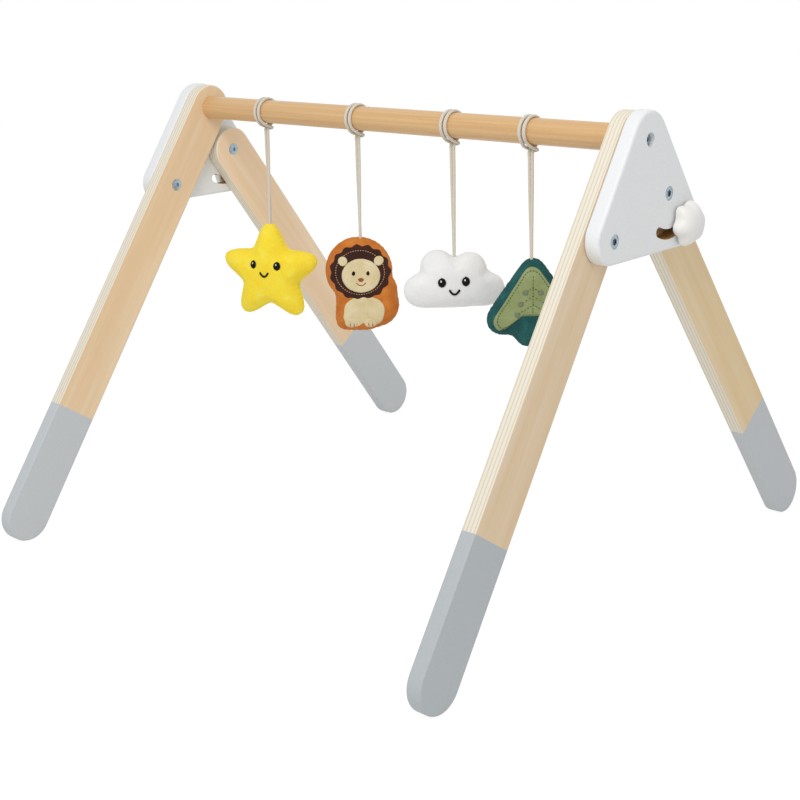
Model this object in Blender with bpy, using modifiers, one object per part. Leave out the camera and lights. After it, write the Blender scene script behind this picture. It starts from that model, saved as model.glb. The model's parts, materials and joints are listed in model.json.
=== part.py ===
"""A wooden activity play gym: two folding leg frames, a dowel crossbar and four hanging soft toys.

+X runs along the crossbar, the front legs lean towards -Y, and the feet stand on z = 0. The origin
lies on the floor, midway between the feet and between the two ends.
"""
import math

import bmesh
import bpy
from mathutils import Vector

MM = 0.001

# Crossbar
BAR_LENGTH = 550 * MM
BAR_DIAMETER = 25 * MM
BAR_SIDES = 32

# Legs: boards with fully round ends, and a painted foot
LEG_WIDTH = 50 * MM
LEG_THICKNESS = 15 * MM
LEG_EDGE_ROUND = 1.6 * MM
FRONT_LEG_LENGTH = 537 * MM
REAR_LEG_LENGTH = 490 * MM
FRONT_LEAN = math.radians(33.8)
FRONT_PAINT_LENGTH = 143 * MM
REAR_PAINT_LENGTH = 150 * MM

# Side plates: a belt round three corner circles, placed from the bar's axis
PLATE_THICKNESS = 15 * MM
PLATE_EDGE_ROUND = 2.4 * MM
PLATE_MIDDLE = 1 * MM
PLATE_HALF_BASE = 58 * MM
PLATE_DROP = 80 * MM
PLATE_APEX_RADIUS = 26 * MM
PLATE_CORNER_RADIUS = 22 * MM

# Folding: the rear leg turns on the pivot, and the knob's stud rides in a slot round it
PIVOT_DOWN = 25.3 * MM
FOLD_GAP = 3.6 * MM
FOLD_ANGLE = math.radians(65)
LEG_BOLT_DOWN = 98 * MM
SLOT_RADIUS = 36.5 * MM
SLOT_WIDTH = 9.5 * MM

# Fits: pieces that touch keep a seat gap, screws in holes keep a clearance
SEAT_GAP = 0.3 * MM
CLEARANCE = 0.3 * MM
CUT_PAST = 2 * MM

# Screws
SCREW_DIAMETER = 6 * MM
SCREW_SIDES = 16
HEAD_DIAMETER = 12.5 * MM
HEAD_HEIGHT = 3.2 * MM
SOCKET_ACROSS_FLATS = 4 * MM
SOCKET_DEPTH = 2 * MM
HEAD_SINK = 2.2 * MM
BAR_BOLT_SINK = 7 * MM
BAR_BOLT_GRIP = 18 * MM
SLEEVE_DIAMETER = 8.4 * MM
SLEEVE_LENGTH = 10 * MM
SLEEVE_BORE_DEPTH = 8 * MM
SLEEVE_FLANGE = 1.8 * MM
INSERT_DIAMETER = 10 * MM
BAR_INSERT_LENGTH = 20 * MM
LEG_INSERT_LENGTH = 12 * MM
TIP_CHAMFER = 0.8 * MM

# Clamp knob
KNOB_RADIUS = 20.8 * MM
KNOB_LOBES = 6
KNOB_LOBE_DEPTH = 3.8 * MM
KNOB_LOBE_TURN = math.radians(11)
KNOB_HEIGHT = 16.5 * MM
# From the base to the crown, as shares: the height, the width, and how deep the lobes still are
KNOB_SECTIONS = (
    (0.0, 0.55, 0.6),
    (0.0, 0.9, 1.0),
    (0.05, 0.97, 1.0),
    (0.2, 1.0, 1.0),
    (0.44, 0.94, 0.8),
    (0.65, 0.82, 0.5),
    (0.83, 0.63, 0.25),
    (0.95, 0.36, 0.08),
)
KNOB_STUD_GRIP = 9 * MM
LEG_STUD_GRIP = 10 * MM
WASHER_DIAMETER = 18 * MM
WASHER_THICKNESS = 1.6 * MM

# Cords: hitched on the bar, then two strands side by side down to the toy
CORD_DIAMETER = 3 * MM
HITCH_GAP = 0.4 * MM
STRAND_HALF_SPACING = 1.75 * MM
RING_HALF_SPACING = 3.15 * MM
BIGHT_HALF_SPACING = 5.25 * MM
HITCH_TAIL = 9.1 * MM
HITCH_STEP = 3.9 * MM
STRAND_STEP = 8 * MM
# The hitch on each side, by its half spacing, its turn in degrees from straight under the bar towards
# the rear, and its rise off the bar: up from the strand, round the bar in a ring, and to the bight
HITCH_FROM_STRAND = (
    (STRAND_HALF_SPACING, 0, HITCH_TAIL),
    (STRAND_HALF_SPACING, 0, 7 * MM),
    (STRAND_HALF_SPACING, 6, 3.4 * MM),
    (2 * MM, 24, 0.6 * MM),
)
HITCH_RING_TURNS = range(50, 311, 20)
HITCH_TO_BIGHT = (
    (4.5 * MM, 335, 1.2 * MM),
    (BIGHT_HALF_SPACING, 357, 3.3 * MM),
    (BIGHT_HALF_SPACING, 368, 5.6 * MM),
    (3.4 * MM, 372.5, 6.6 * MM),
)
HITCH_CROSSING = (0, 373, 6.8 * MM)

# Toys: where each hangs on the bar, how far it drops from the bar's axis to the toy's middle,
# which way it faces (from the front towards +X), and how thick it is stuffed
STAR_X, STAR_DROP, STAR_FACING, STAR_THICKNESS = -184 * MM, 180 * MM, math.radians(22), 36 * MM
LION_X, LION_DROP, LION_FACING, LION_THICKNESS = -47 * MM, 172.5 * MM, math.radians(40), 24 * MM
CLOUD_X, CLOUD_DROP, CLOUD_FACING, CLOUD_THICKNESS = 80.5 * MM, 154 * MM, math.radians(43), 38 * MM
TREE_X, TREE_DROP, TREE_FACING, TREE_THICKNESS = 175.5 * MM, 161.7 * MM, math.radians(42), 22 * MM
TOY_POINTS = 40
# The stuffing: rings as shares of the outline, and how full it stands towards the edge
PILLOW_RINGS = (0.24, 0.48, 0.7, 0.86, 0.96)
STAR_FULLNESS, CLOUD_FULLNESS, FLAT_FULLNESS = 2.4, 2.6, 4

STAR_ARMS = 5
STAR_CORE_RADIUS = 27 * MM
STAR_ARM_LENGTH = 48.5 * MM
STAR_TIP_RADIUS = 9.5 * MM

# The other outlines: round swells (across, up, radius) on the toy's face, as shares of its size
LION_HEIGHT = 98.4 * MM
LION_MANE = (-0.024, 0.142, 0.351)
LION_FLANK = (0.183, -0.081, 0.193)
LION_HAUNCH = (0.16, -0.239, 0.234)
LION_PAW = (-0.191, -0.417, 0.09)
LION_CHEST = (-0.173, -0.142, 0.097)
LION_TOE = (0.071, -0.407, 0.101)
CLOUD_WIDTH = 98.8 * MM
CLOUD_PUFFS = (-0.16, 0.15, 0.17), (0.15, 0.12, 0.165)
CLOUD_ENDS = (-0.33, -0.09, 0.17), (0.335, -0.085, 0.165)
TREE_HEIGHT = 85.4 * MM
TREE_CORNERS = (0.014, 0.363, 0.134), (-0.336, -0.192, 0.167), (0.334, -0.178, 0.167)
TREE_TRUNK = (-0.006, -0.258, 0.117), (-0.012, -0.386, 0.117)

ARC_STEP = math.radians(9)


# Places that follow from the driving dimensions, as (y, z) pairs in the plane across the bar

LEG_IN = BAR_LENGTH / 2 + SEAT_GAP
LEG_OUT = LEG_IN + LEG_THICKNESS
PLATE_IN = LEG_OUT + SEAT_GAP
PLATE_OUT = PLATE_IN + PLATE_THICKNESS
KNOB_BASE = PLATE_OUT + SEAT_GAP + WASHER_THICKNESS + SEAT_GAP

FRONT_DROP = FRONT_LEG_LENGTH - LEG_WIDTH
REAR_DROP = REAR_LEG_LENGTH - LEG_WIDTH
FRONT_DOWN = Vector((-math.sin(FRONT_LEAN), -math.cos(FRONT_LEAN)))
FRONT_BACK = Vector((math.cos(FRONT_LEAN), -math.sin(FRONT_LEAN)))
BAR_Z = LEG_WIDTH / 2 + FRONT_DROP * math.cos(FRONT_LEAN)
PIVOT_FROM_BAR = FRONT_DOWN * PIVOT_DOWN + FRONT_BACK * (LEG_WIDTH + FOLD_GAP)
REAR_LEAN = math.acos((BAR_Z + PIVOT_FROM_BAR.y - LEG_WIDTH / 2) / REAR_DROP)
REAR_DOWN = Vector((math.sin(REAR_LEAN), -math.cos(REAR_LEAN)))
BAR_Y = (FRONT_DROP * math.sin(FRONT_LEAN) - REAR_DROP * math.sin(REAR_LEAN) - PIVOT_FROM_BAR.x) / 2
BAR = Vector((BAR_Y, BAR_Z))
PIVOT = BAR + PIVOT_FROM_BAR
LEG_BOLT = BAR + FRONT_DOWN * LEG_BOLT_DOWN
KNOB = PIVOT + REAR_DOWN * SLOT_RADIUS

SCREW_HOLE = SCREW_DIAMETER / 2 + CLEARANCE
HEAD_HOLE = HEAD_DIAMETER / 2 + CLEARANCE
WRAP_RADIUS = BAR_DIAMETER / 2 + HITCH_GAP + CORD_DIAMETER / 2
HITCH_END = WRAP_RADIUS + HITCH_TAIL
SWING_DROP = HITCH_END + SEAT_GAP + CORD_DIAMETER / 2

# A piece drawn flat stands in the plane across the bar when it is turned so
ACROSS_BAR = (math.pi / 2, 0, math.pi / 2)
ENDS = (("left", -1), ("right", 1))


for old in list(bpy.data.objects):
    bpy.data.objects.remove(old, do_unlink=True)
GYM = bpy.data.collections.new("play_gym")
CUTTERS = bpy.data.collections.new("cutters")
for collection in (GYM, CUTTERS):
    bpy.context.scene.collection.children.link(collection)


def finish(name, colour, roughness, metallic=0.0):
    """A Principled material from sRGB values between 0 and 1."""
    made = bpy.data.materials.new(name)
    made.use_nodes = True
    shader = made.node_tree.nodes["Principled BSDF"]
    linear = [c / 12.92 if c <= 0.04045 else ((c + 0.055) / 1.055) ** 2.4 for c in colour]
    shader.inputs["Base Color"].default_value = (*linear, 1)
    shader.inputs["Roughness"].default_value = roughness
    shader.inputs["Metallic"].default_value = metallic
    return made


PLYWOOD = finish("birch_plywood", (0.87, 0.75, 0.58), 0.55)
FOOT_PAINT = finish("grey_paint", (0.71, 0.72, 0.72), 0.6)
WHITE_PAINT = finish("white_paint", (0.93, 0.93, 0.92), 0.5)
BEECH = finish("beech_dowel", (0.86, 0.69, 0.48), 0.45)
ZINC = finish("zinc_steel", (0.62, 0.68, 0.72), 0.35, 1.0)
NYLON = finish("white_nylon", (0.93, 0.93, 0.91), 0.4)
COTTON = finish("cotton_cord", (0.85, 0.81, 0.75), 0.9)
YELLOW_PLUSH = finish("yellow_plush", (0.98, 0.86, 0.22), 0.95)
ORANGE_PLUSH = finish("orange_plush", (0.83, 0.48, 0.18), 0.95)
WHITE_PLUSH = finish("white_plush", (0.93, 0.92, 0.91), 0.95)
GREEN_PLUSH = finish("green_plush", (0.06, 0.29, 0.3), 0.95)


def add_node(name, data, *materials):
    """An object of the gym, from a mesh or a curve."""
    node = bpy.data.objects.new(name, data)
    GYM.objects.link(node)
    for material in materials:
        data.materials.append(material)
    return node


def joint_axis(name, x, place):
    """An empty on a joint's axis, to carry what moves there."""
    axis = bpy.data.objects.new(name, None)
    axis.empty_display_size = 0.02
    axis.location = (x, place.x, place.y)
    GYM.objects.link(axis)
    return axis


def carry(axis, *nodes):
    """Parents nodes to a joint's axis without moving them."""
    for node in nodes:
        node.parent = axis
        node.location -= axis.location


def arc(centre, radius, start, end):
    """Points of an arc, both ends included."""
    steps = max(2, math.ceil(abs(end - start) / ARC_STEP - 1e-6))
    turns = (start + (end - start) * i / steps for i in range(steps + 1))
    return [centre + radius * Vector((math.cos(t), math.sin(t))) for t in turns]


def belt(circles):
    """The outline of a belt round circles given anticlockwise as (centre, radius)."""
    normals = []
    for (a, radius_a), (b, radius_b) in zip(circles, circles[1:] + circles[:1]):
        along = b - a
        lean = math.asin((radius_a - radius_b) / along.length)
        normals.append(math.atan2(along.y, along.x) - math.pi / 2 + lean)
    outline = []
    for i, (centre, radius) in enumerate(circles):
        start, end = normals[i - 1], normals[i]
        while end < start:
            end += 2 * math.pi
        outline += arc(centre, radius, start, end)
    return outline


def leg_outline(down, drop):
    """A round-ended board hung from its upper round's centre, with a point where it meets the floor."""
    radius = LEG_WIDTH / 2
    heading = math.atan2(down.y, down.x)
    floor = -math.pi / 2
    foot = down * drop
    bottom = arc(foot, radius, heading - math.pi / 2, floor)
    bottom += arc(foot, radius, floor, heading + math.pi / 2)[1:]
    return bottom + arc(Vector((0, 0)), radius, heading + math.pi / 2, heading + 3 * math.pi / 2)


def slot_outline():
    """The arc slot round the pivot, a clearance past the stud at both ends of its travel."""
    slack = (SLOT_WIDTH / 2 - SCREW_DIAMETER / 2 - CLEARANCE) / SLOT_RADIUS
    folded = REAR_LEAN - FOLD_ANGLE + slack - math.pi / 2
    opened = REAR_LEAN - slack - math.pi / 2
    half = SLOT_WIDTH / 2
    middle = Vector((0, 0))

    def end_round(turn, start):
        centre = SLOT_RADIUS * Vector((math.cos(turn), math.sin(turn)))
        return arc(centre, half, start, start + math.pi)

    outline = arc(middle, SLOT_RADIUS + half, folded, opened)
    outline += end_round(opened, opened)[1:-1]
    outline += arc(middle, SLOT_RADIUS - half, opened, folded)
    return outline + end_round(folded, folded + math.pi)[1:-1]


def flat_mesh(name, outline, thickness):
    """A closed mesh of a flat outline, with whole faces on both sides."""
    curve = bpy.data.curves.new(name, "CURVE")
    curve.dimensions = "2D"
    curve.fill_mode = "BOTH"
    curve.extrude = thickness / 2
    spline = curve.splines.new("POLY")
    spline.points.add(len(outline) - 1)
    for point, place in zip(spline.points, outline):
        point.co = (place.x, place.y, 0, 1)
    spline.use_cyclic_u = True
    drawn = bpy.data.objects.new(name, curve)
    bpy.context.scene.collection.objects.link(drawn)
    evaluated = drawn.evaluated_get(bpy.context.evaluated_depsgraph_get())
    mesh = bpy.data.meshes.new_from_object(evaluated)
    bpy.data.objects.remove(drawn)
    shape = bmesh.new()
    shape.from_mesh(mesh)
    bmesh.ops.remove_doubles(shape, verts=shape.verts, dist=1e-6)
    bmesh.ops.dissolve_limit(
        shape, angle_limit=math.radians(0.5), verts=shape.verts, edges=shape.edges
    )
    bmesh.ops.recalc_face_normals(shape, faces=shape.faces)
    shape.to_mesh(mesh)
    shape.free()
    return mesh


def round_edges(node, width, segments=2):
    bevel = node.modifiers.new("round_edges", "BEVEL")
    bevel.width = width
    bevel.segments = segments
    bevel.limit_method = "ANGLE"
    bevel.angle_limit = math.radians(40)


def cut(node, cutter):
    cutter.hide_render = True
    cutter.display_type = "WIRE"
    boolean = node.modifiers.new(cutter.name, "BOOLEAN")
    boolean.operation = "DIFFERENCE"
    boolean.solver = "EXACT"
    boolean.object = cutter


def drill(node, name, place, radius, start, end, sides=SCREW_SIDES):
    """Cuts a round hole along X, between two stations, at a (y, z) place."""
    mesh = bpy.data.meshes.new(name)
    shape = bmesh.new()
    bmesh.ops.create_cone(
        shape, cap_ends=True, segments=sides, radius1=radius, radius2=radius, depth=abs(end - start)
    )
    shape.to_mesh(mesh)
    shape.free()
    cutter = bpy.data.objects.new(name, mesh)
    CUTTERS.objects.link(cutter)
    cutter.rotation_euler = ACROSS_BAR
    cutter.location = ((start + end) / 2, place.x, place.y)
    cut(node, cutter)


def smooth(mesh, angle=40):
    mesh.shade_smooth()
    mesh.set_sharp_from_angle(angle=math.radians(angle))


def turned(name, profile, material, closed=False, steps=SCREW_SIDES):
    """A shape turned about its own Z, from (radius, height) points down its outer side."""
    mesh = bpy.data.meshes.new(name)
    shape = bmesh.new()
    points = [shape.verts.new((radius, 0, height)) for radius, height in profile]
    pairs = list(zip(points, points[1:]))
    if closed:
        pairs.append((points[-1], points[0]))
    for pair in pairs:
        shape.edges.new(pair)
    shape.to_mesh(mesh)
    shape.free()
    node = add_node(name, mesh, material)
    screw = node.modifiers.new("turn", "SCREW")
    screw.axis = "Z"
    screw.steps = screw.render_steps = steps
    screw.use_merge_vertices = True
    screw.merge_threshold = 1e-6
    screw.use_smooth_shade = True
    return node


def set_along_bar(node, side, station, place):
    """Stands a turned piece on the bar's direction, its top pointing out of the end on that side."""
    node.rotation_euler = (math.pi / 2, 0, side * math.pi / 2)
    node.location = (side * station, place.x, place.y)


def socket(node, name, top):
    """Cuts a hexagon socket in the top of a turned piece, in the piece's own frame."""
    mesh = bpy.data.meshes.new(name)
    shape = bmesh.new()
    corner = SOCKET_ACROSS_FLATS / math.sqrt(3)
    depth = SOCKET_DEPTH + CUT_PAST
    bmesh.ops.create_cone(
        shape, cap_ends=True, segments=6, radius1=corner, radius2=corner, depth=depth
    )
    bmesh.ops.translate(shape, verts=shape.verts, vec=(0, 0, top - SOCKET_DEPTH + depth / 2))
    shape.to_mesh(mesh)
    shape.free()
    cutter = bpy.data.objects.new(name, mesh)
    CUTTERS.objects.link(cutter)
    cutter.rotation_euler = node.rotation_euler
    cutter.location = node.location
    cut(node, cutter)


def bolt(name, length):
    """A domed-head screw: the head stands on z = 0, the shank runs down."""
    shank = SCREW_DIAMETER / 2
    head = HEAD_DIAMETER / 2
    profile = [
        (0, HEAD_HEIGHT),
        (0.62 * head, 0.94 * HEAD_HEIGHT),
        (0.9 * head, 0.7 * HEAD_HEIGHT),
        (head, 0.35 * HEAD_HEIGHT),
        (head, 0),
        (shank, 0),
        (shank, TIP_CHAMFER - length),
        (shank - TIP_CHAMFER, -length),
        (0, -length),
    ]
    return turned(name, profile, ZINC)


def sleeve_nut(name):
    """A flanged blind nut: the flange stands on z = 0, the sleeve and its bore run down."""
    flange = HEAD_DIAMETER / 2
    sleeve = SLEEVE_DIAMETER / 2
    profile = [
        (0, SLEEVE_FLANGE),
        (0.9 * flange, SLEEVE_FLANGE),
        (flange, 0.6 * SLEEVE_FLANGE),
        (flange, 0),
        (sleeve, 0),
        (sleeve, -SLEEVE_LENGTH),
        (SCREW_HOLE, -SLEEVE_LENGTH),
        (SCREW_HOLE, SLEEVE_BORE_DEPTH - SLEEVE_LENGTH),
        (0, SLEEVE_BORE_DEPTH - SLEEVE_LENGTH),
    ]
    return turned(name, profile, ZINC)


def ring(name, outer, inner, height, material):
    """A plain ring: its top is at z = 0."""
    profile = [(outer, 0), (outer, -height), (inner, -height), (inner, 0)]
    return turned(name, profile, material, closed=True)


def loft(name, rings, start, end):
    """A closed mesh over rings of points, with a pole at each end, facing out."""
    mesh = bpy.data.meshes.new(name)
    shape = bmesh.new()
    rows = [[shape.verts.new(point) for point in row] for row in rings]
    for low, high in zip(rows, rows[1:]):
        for i in range(len(low)):
            j = (i + 1) % len(low)
            shape.faces.new((low[i], low[j], high[j], high[i]))
    for row, pole in ((rows[0], shape.verts.new(start)), (rows[-1], shape.verts.new(end))):
        for i in range(len(row)):
            shape.faces.new((row[i], row[(i + 1) % len(row)], pole))
    bmesh.ops.recalc_face_normals(shape, faces=shape.faces)
    shape.to_mesh(mesh)
    shape.free()
    smooth(mesh, 50)
    return mesh


def tube(name, route, radii=None):
    """A cord's solid along a route, with filled ends."""
    curve = bpy.data.curves.new(name, "CURVE")
    curve.dimensions = "3D"
    curve.bevel_depth = CORD_DIAMETER / 2
    curve.bevel_resolution = 1 if radii is None else 2
    curve.use_fill_caps = True
    spline = curve.splines.new("POLY")
    spline.points.add(len(route) - 1)
    for i, (point, place) in enumerate(zip(spline.points, route)):
        point.co = (*place, 1)
        point.radius = 1 if radii is None else radii[i]
    spline.use_smooth = True
    return add_node(name, curve, COTTON)


def smooth_route(points, step):
    """Even points along a smooth curve through the given ones."""
    dense = []
    framed = [2 * points[0] - points[1], *points, 2 * points[-1] - points[-2]]
    for a, b, c, d in zip(framed, framed[1:], framed[2:], framed[3:]):
        for i in range(16):
            t = i / 16
            dense.append(
                0.5
                * (
                    2 * b
                    + (c - a) * t
                    + (2 * a - 5 * b + 4 * c - d) * t**2
                    + (3 * b - a - 3 * c + d) * t**3
                )
            )
    dense.append(points[-1].copy())
    lengths = [0.0]
    for a, b in zip(dense, dense[1:]):
        lengths.append(lengths[-1] + (b - a).length)
    count = max(2, round(lengths[-1] / step))
    route, at = [], 0
    for i in range(count + 1):
        wanted = lengths[-1] * i / count
        while at < len(lengths) - 2 and lengths[at + 1] < wanted:
            at += 1
        span = lengths[at + 1] - lengths[at]
        route.append(dense[at].lerp(dense[at + 1], (wanted - lengths[at]) / span))
    return route


def hitch_route():
    """A cow hitch round the bar's axis at the origin: up from one strand, round the bar behind, over
    and down in front, across behind both strands, and the same way back on the other side.
    """

    def at(side, half_spacing, turn, rise):
        """A point by its turn from straight under the bar towards the rear, and rise off the bar."""
        reach = WRAP_RADIUS + rise
        angle = math.radians(turn)
        return Vector((side * half_spacing, reach * math.sin(angle), -reach * math.cos(angle)))

    def half(side):
        rings = [(RING_HALF_SPACING, turn, 0) for turn in HITCH_RING_TURNS]
        return [at(side, *step) for step in (*HITCH_FROM_STRAND, *rings, *HITCH_TO_BIGHT)]

    crossing = at(1, *HITCH_CROSSING)
    return smooth_route([*half(-1), crossing, *reversed(half(1))], HITCH_STEP)


def least_gap(route):
    """The least gap of a cord to itself, between points at least three diameters apart along it."""
    apart = math.ceil(3 * CORD_DIAMETER / HITCH_STEP)
    gaps = [
        (a - b).length for i, a in enumerate(route) for b in route[i + apart :]
    ]
    return min(gaps) - CORD_DIAMETER


def discs_between(a, b):
    """Discs (u, v, radius) filling the straight swell from one disc to another."""
    return [tuple(p + (q - p) * i / 12 for p, q in zip(a, b)) for i in range(13)]


def star_discs():
    discs = []
    for arm in range(STAR_ARMS):
        turn = math.pi / 2 + arm * 2 * math.pi / STAR_ARMS
        tip = (STAR_ARM_LENGTH * math.cos(turn), STAR_ARM_LENGTH * math.sin(turn), STAR_TIP_RADIUS)
        discs += discs_between((0, 0, STAR_CORE_RADIUS), tip)
    return discs


def sized(size, shares):
    """Discs of a toy from their shares of its size."""
    return [tuple(size * share for share in disc) for disc in shares]


def lion_discs():
    """A round mane over a seated body, with the tail's bulge on one side."""
    legs = discs_between(LION_PAW, LION_CHEST) + discs_between(LION_PAW, LION_TOE)
    return sized(LION_HEIGHT, [LION_MANE, LION_FLANK, LION_HAUNCH, *legs])


def cloud_discs():
    return sized(CLOUD_WIDTH, [*CLOUD_PUFFS, *discs_between(*CLOUD_ENDS)])


def tree_discs():
    top, left, right = TREE_CORNERS
    sides = discs_between(top, left) + discs_between(top, right) + discs_between(left, right)
    return sized(TREE_HEIGHT, [*sides, *discs_between(*TREE_TRUNK)])


def toy_reach(discs, samples=360, spread=5):
    """The outline's reach from the toy's middle, each degree from +u, with its crevices eased."""
    reach = []
    for i in range(samples):
        heading = Vector((math.cos(2 * math.pi * i / samples), math.sin(2 * math.pi * i / samples)))
        far = 0.0
        for u, v, radius in discs:
            along = heading.x * u + heading.y * v
            beside = abs(heading.x * v - heading.y * u)
            if beside < radius:
                far = max(far, along + math.sqrt(radius**2 - beside**2))
        reach.append(far)
    for _ in range(2):
        near = range(-spread, spread + 1)
        reach = [sum(reach[(i + k) % samples] for k in near) / len(near) for i in range(samples)]
    return reach


def pillow(name, reach, thickness, fullness):
    """A two-panel stuffed shape: rings of the outline, shrinking to a crown on both sides."""
    step = len(reach) // TOY_POINTS
    outline = []
    for i in range(0, len(reach), step):
        turn = 2 * math.pi * i / len(reach)
        outline.append(Vector((reach[i] * math.cos(turn), reach[i] * math.sin(turn), 0)))
    half_rings = []
    for share in PILLOW_RINGS:
        half_rings.append((share, thickness / 2 * math.sqrt(1 - share**fullness)))
    stack = half_rings + [(1.0, 0.0)] + [(share, -crown) for share, crown in reversed(half_rings)]
    rings = [[point * share + Vector((0, 0, crown)) for point in outline] for share, crown in stack]
    return loft(name, rings, (0, 0, thickness / 2), (0, 0, -thickness / 2))


def toy_top(reach):
    """How high the toy's edge stands under its two strands."""
    half = CORD_DIAMETER / 2 + SEAT_GAP
    heights = [0.0]
    for i, far in enumerate(reach):
        turn = 2 * math.pi * i / len(reach)
        if abs(far * math.cos(turn)) <= half:
            heights.append(far * math.sin(turn))
    return max(heights)


def strand_route(side, length, facing):
    """One strand under the swing axis. The pair turns slowly on its way down, from side by side along
    the bar to one behind the other on the toy's seam. The top is rounded about the axis. Gives the
    points and each point's share of the radius.
    """
    seam_turn = facing - math.pi / 2
    route, radii = [], []
    for turn in (70, 40, 15):
        lift = CORD_DIAMETER / 2 * math.sin(math.radians(turn))
        route.append(Vector((side * STRAND_HALF_SPACING, 0, lift)))
        radii.append(math.cos(math.radians(turn)))
    count = max(3, round(length / STRAND_STEP))
    for i in range(count + 1):
        share = i / count
        turn = seam_turn * share**2 * (3 - 2 * share)
        reach = side * STRAND_HALF_SPACING
        route.append(Vector((reach * math.cos(turn), reach * math.sin(turn), -length * share)))
        radii.append(1)
    return route, radii


# Crossbar, with a bore in each end for its insert

bar_mesh = bpy.data.meshes.new("crossbar")
bar_shape = bmesh.new()
bmesh.ops.create_cone(
    bar_shape,
    cap_ends=True,
    segments=BAR_SIDES,
    radius1=BAR_DIAMETER / 2,
    radius2=BAR_DIAMETER / 2,
    depth=BAR_LENGTH,
)
bar_shape.to_mesh(bar_mesh)
bar_shape.free()
smooth(bar_mesh)
crossbar = add_node("crossbar", bar_mesh, BEECH)
crossbar.rotation_euler = ACROSS_BAR
crossbar.location = (0, BAR.x, BAR.y)
for end_name, side in ENDS:
    bore_end = BAR_LENGTH / 2 - BAR_INSERT_LENGTH - CLEARANCE
    drill(
        crossbar,
        f"{end_name}_bar_bore",
        BAR,
        INSERT_DIAMETER / 2 + CLEARANCE,
        side * bore_end,
        side * (BAR_LENGTH / 2 + CUT_PAST),
    )


def leg(name, side, top, down, drop, paint_length):
    """A leg board on its upper round's centre, with its foot painted."""
    mesh = flat_mesh(name, leg_outline(down, drop), LEG_THICKNESS)
    line = down * (drop + LEG_WIDTH / 2 - paint_length)
    shape = bmesh.new()
    shape.from_mesh(mesh)
    bmesh.ops.bisect_plane(
        shape,
        geom=[*shape.verts, *shape.edges, *shape.faces],
        dist=1e-7,
        plane_co=(*line, 0),
        plane_no=(*down, 0),
    )
    for face in shape.faces:
        middle = face.calc_center_median()
        face.material_index = int((middle.xy - line).dot(down) > 0)
    shape.to_mesh(mesh)
    shape.free()
    node = add_node(name, mesh, PLYWOOD, FOOT_PAINT)
    node.rotation_euler = ACROSS_BAR
    node.location = (side * (LEG_IN + LEG_OUT) / 2, top.x, top.y)
    round_edges(node, LEG_EDGE_ROUND)
    return node


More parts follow.
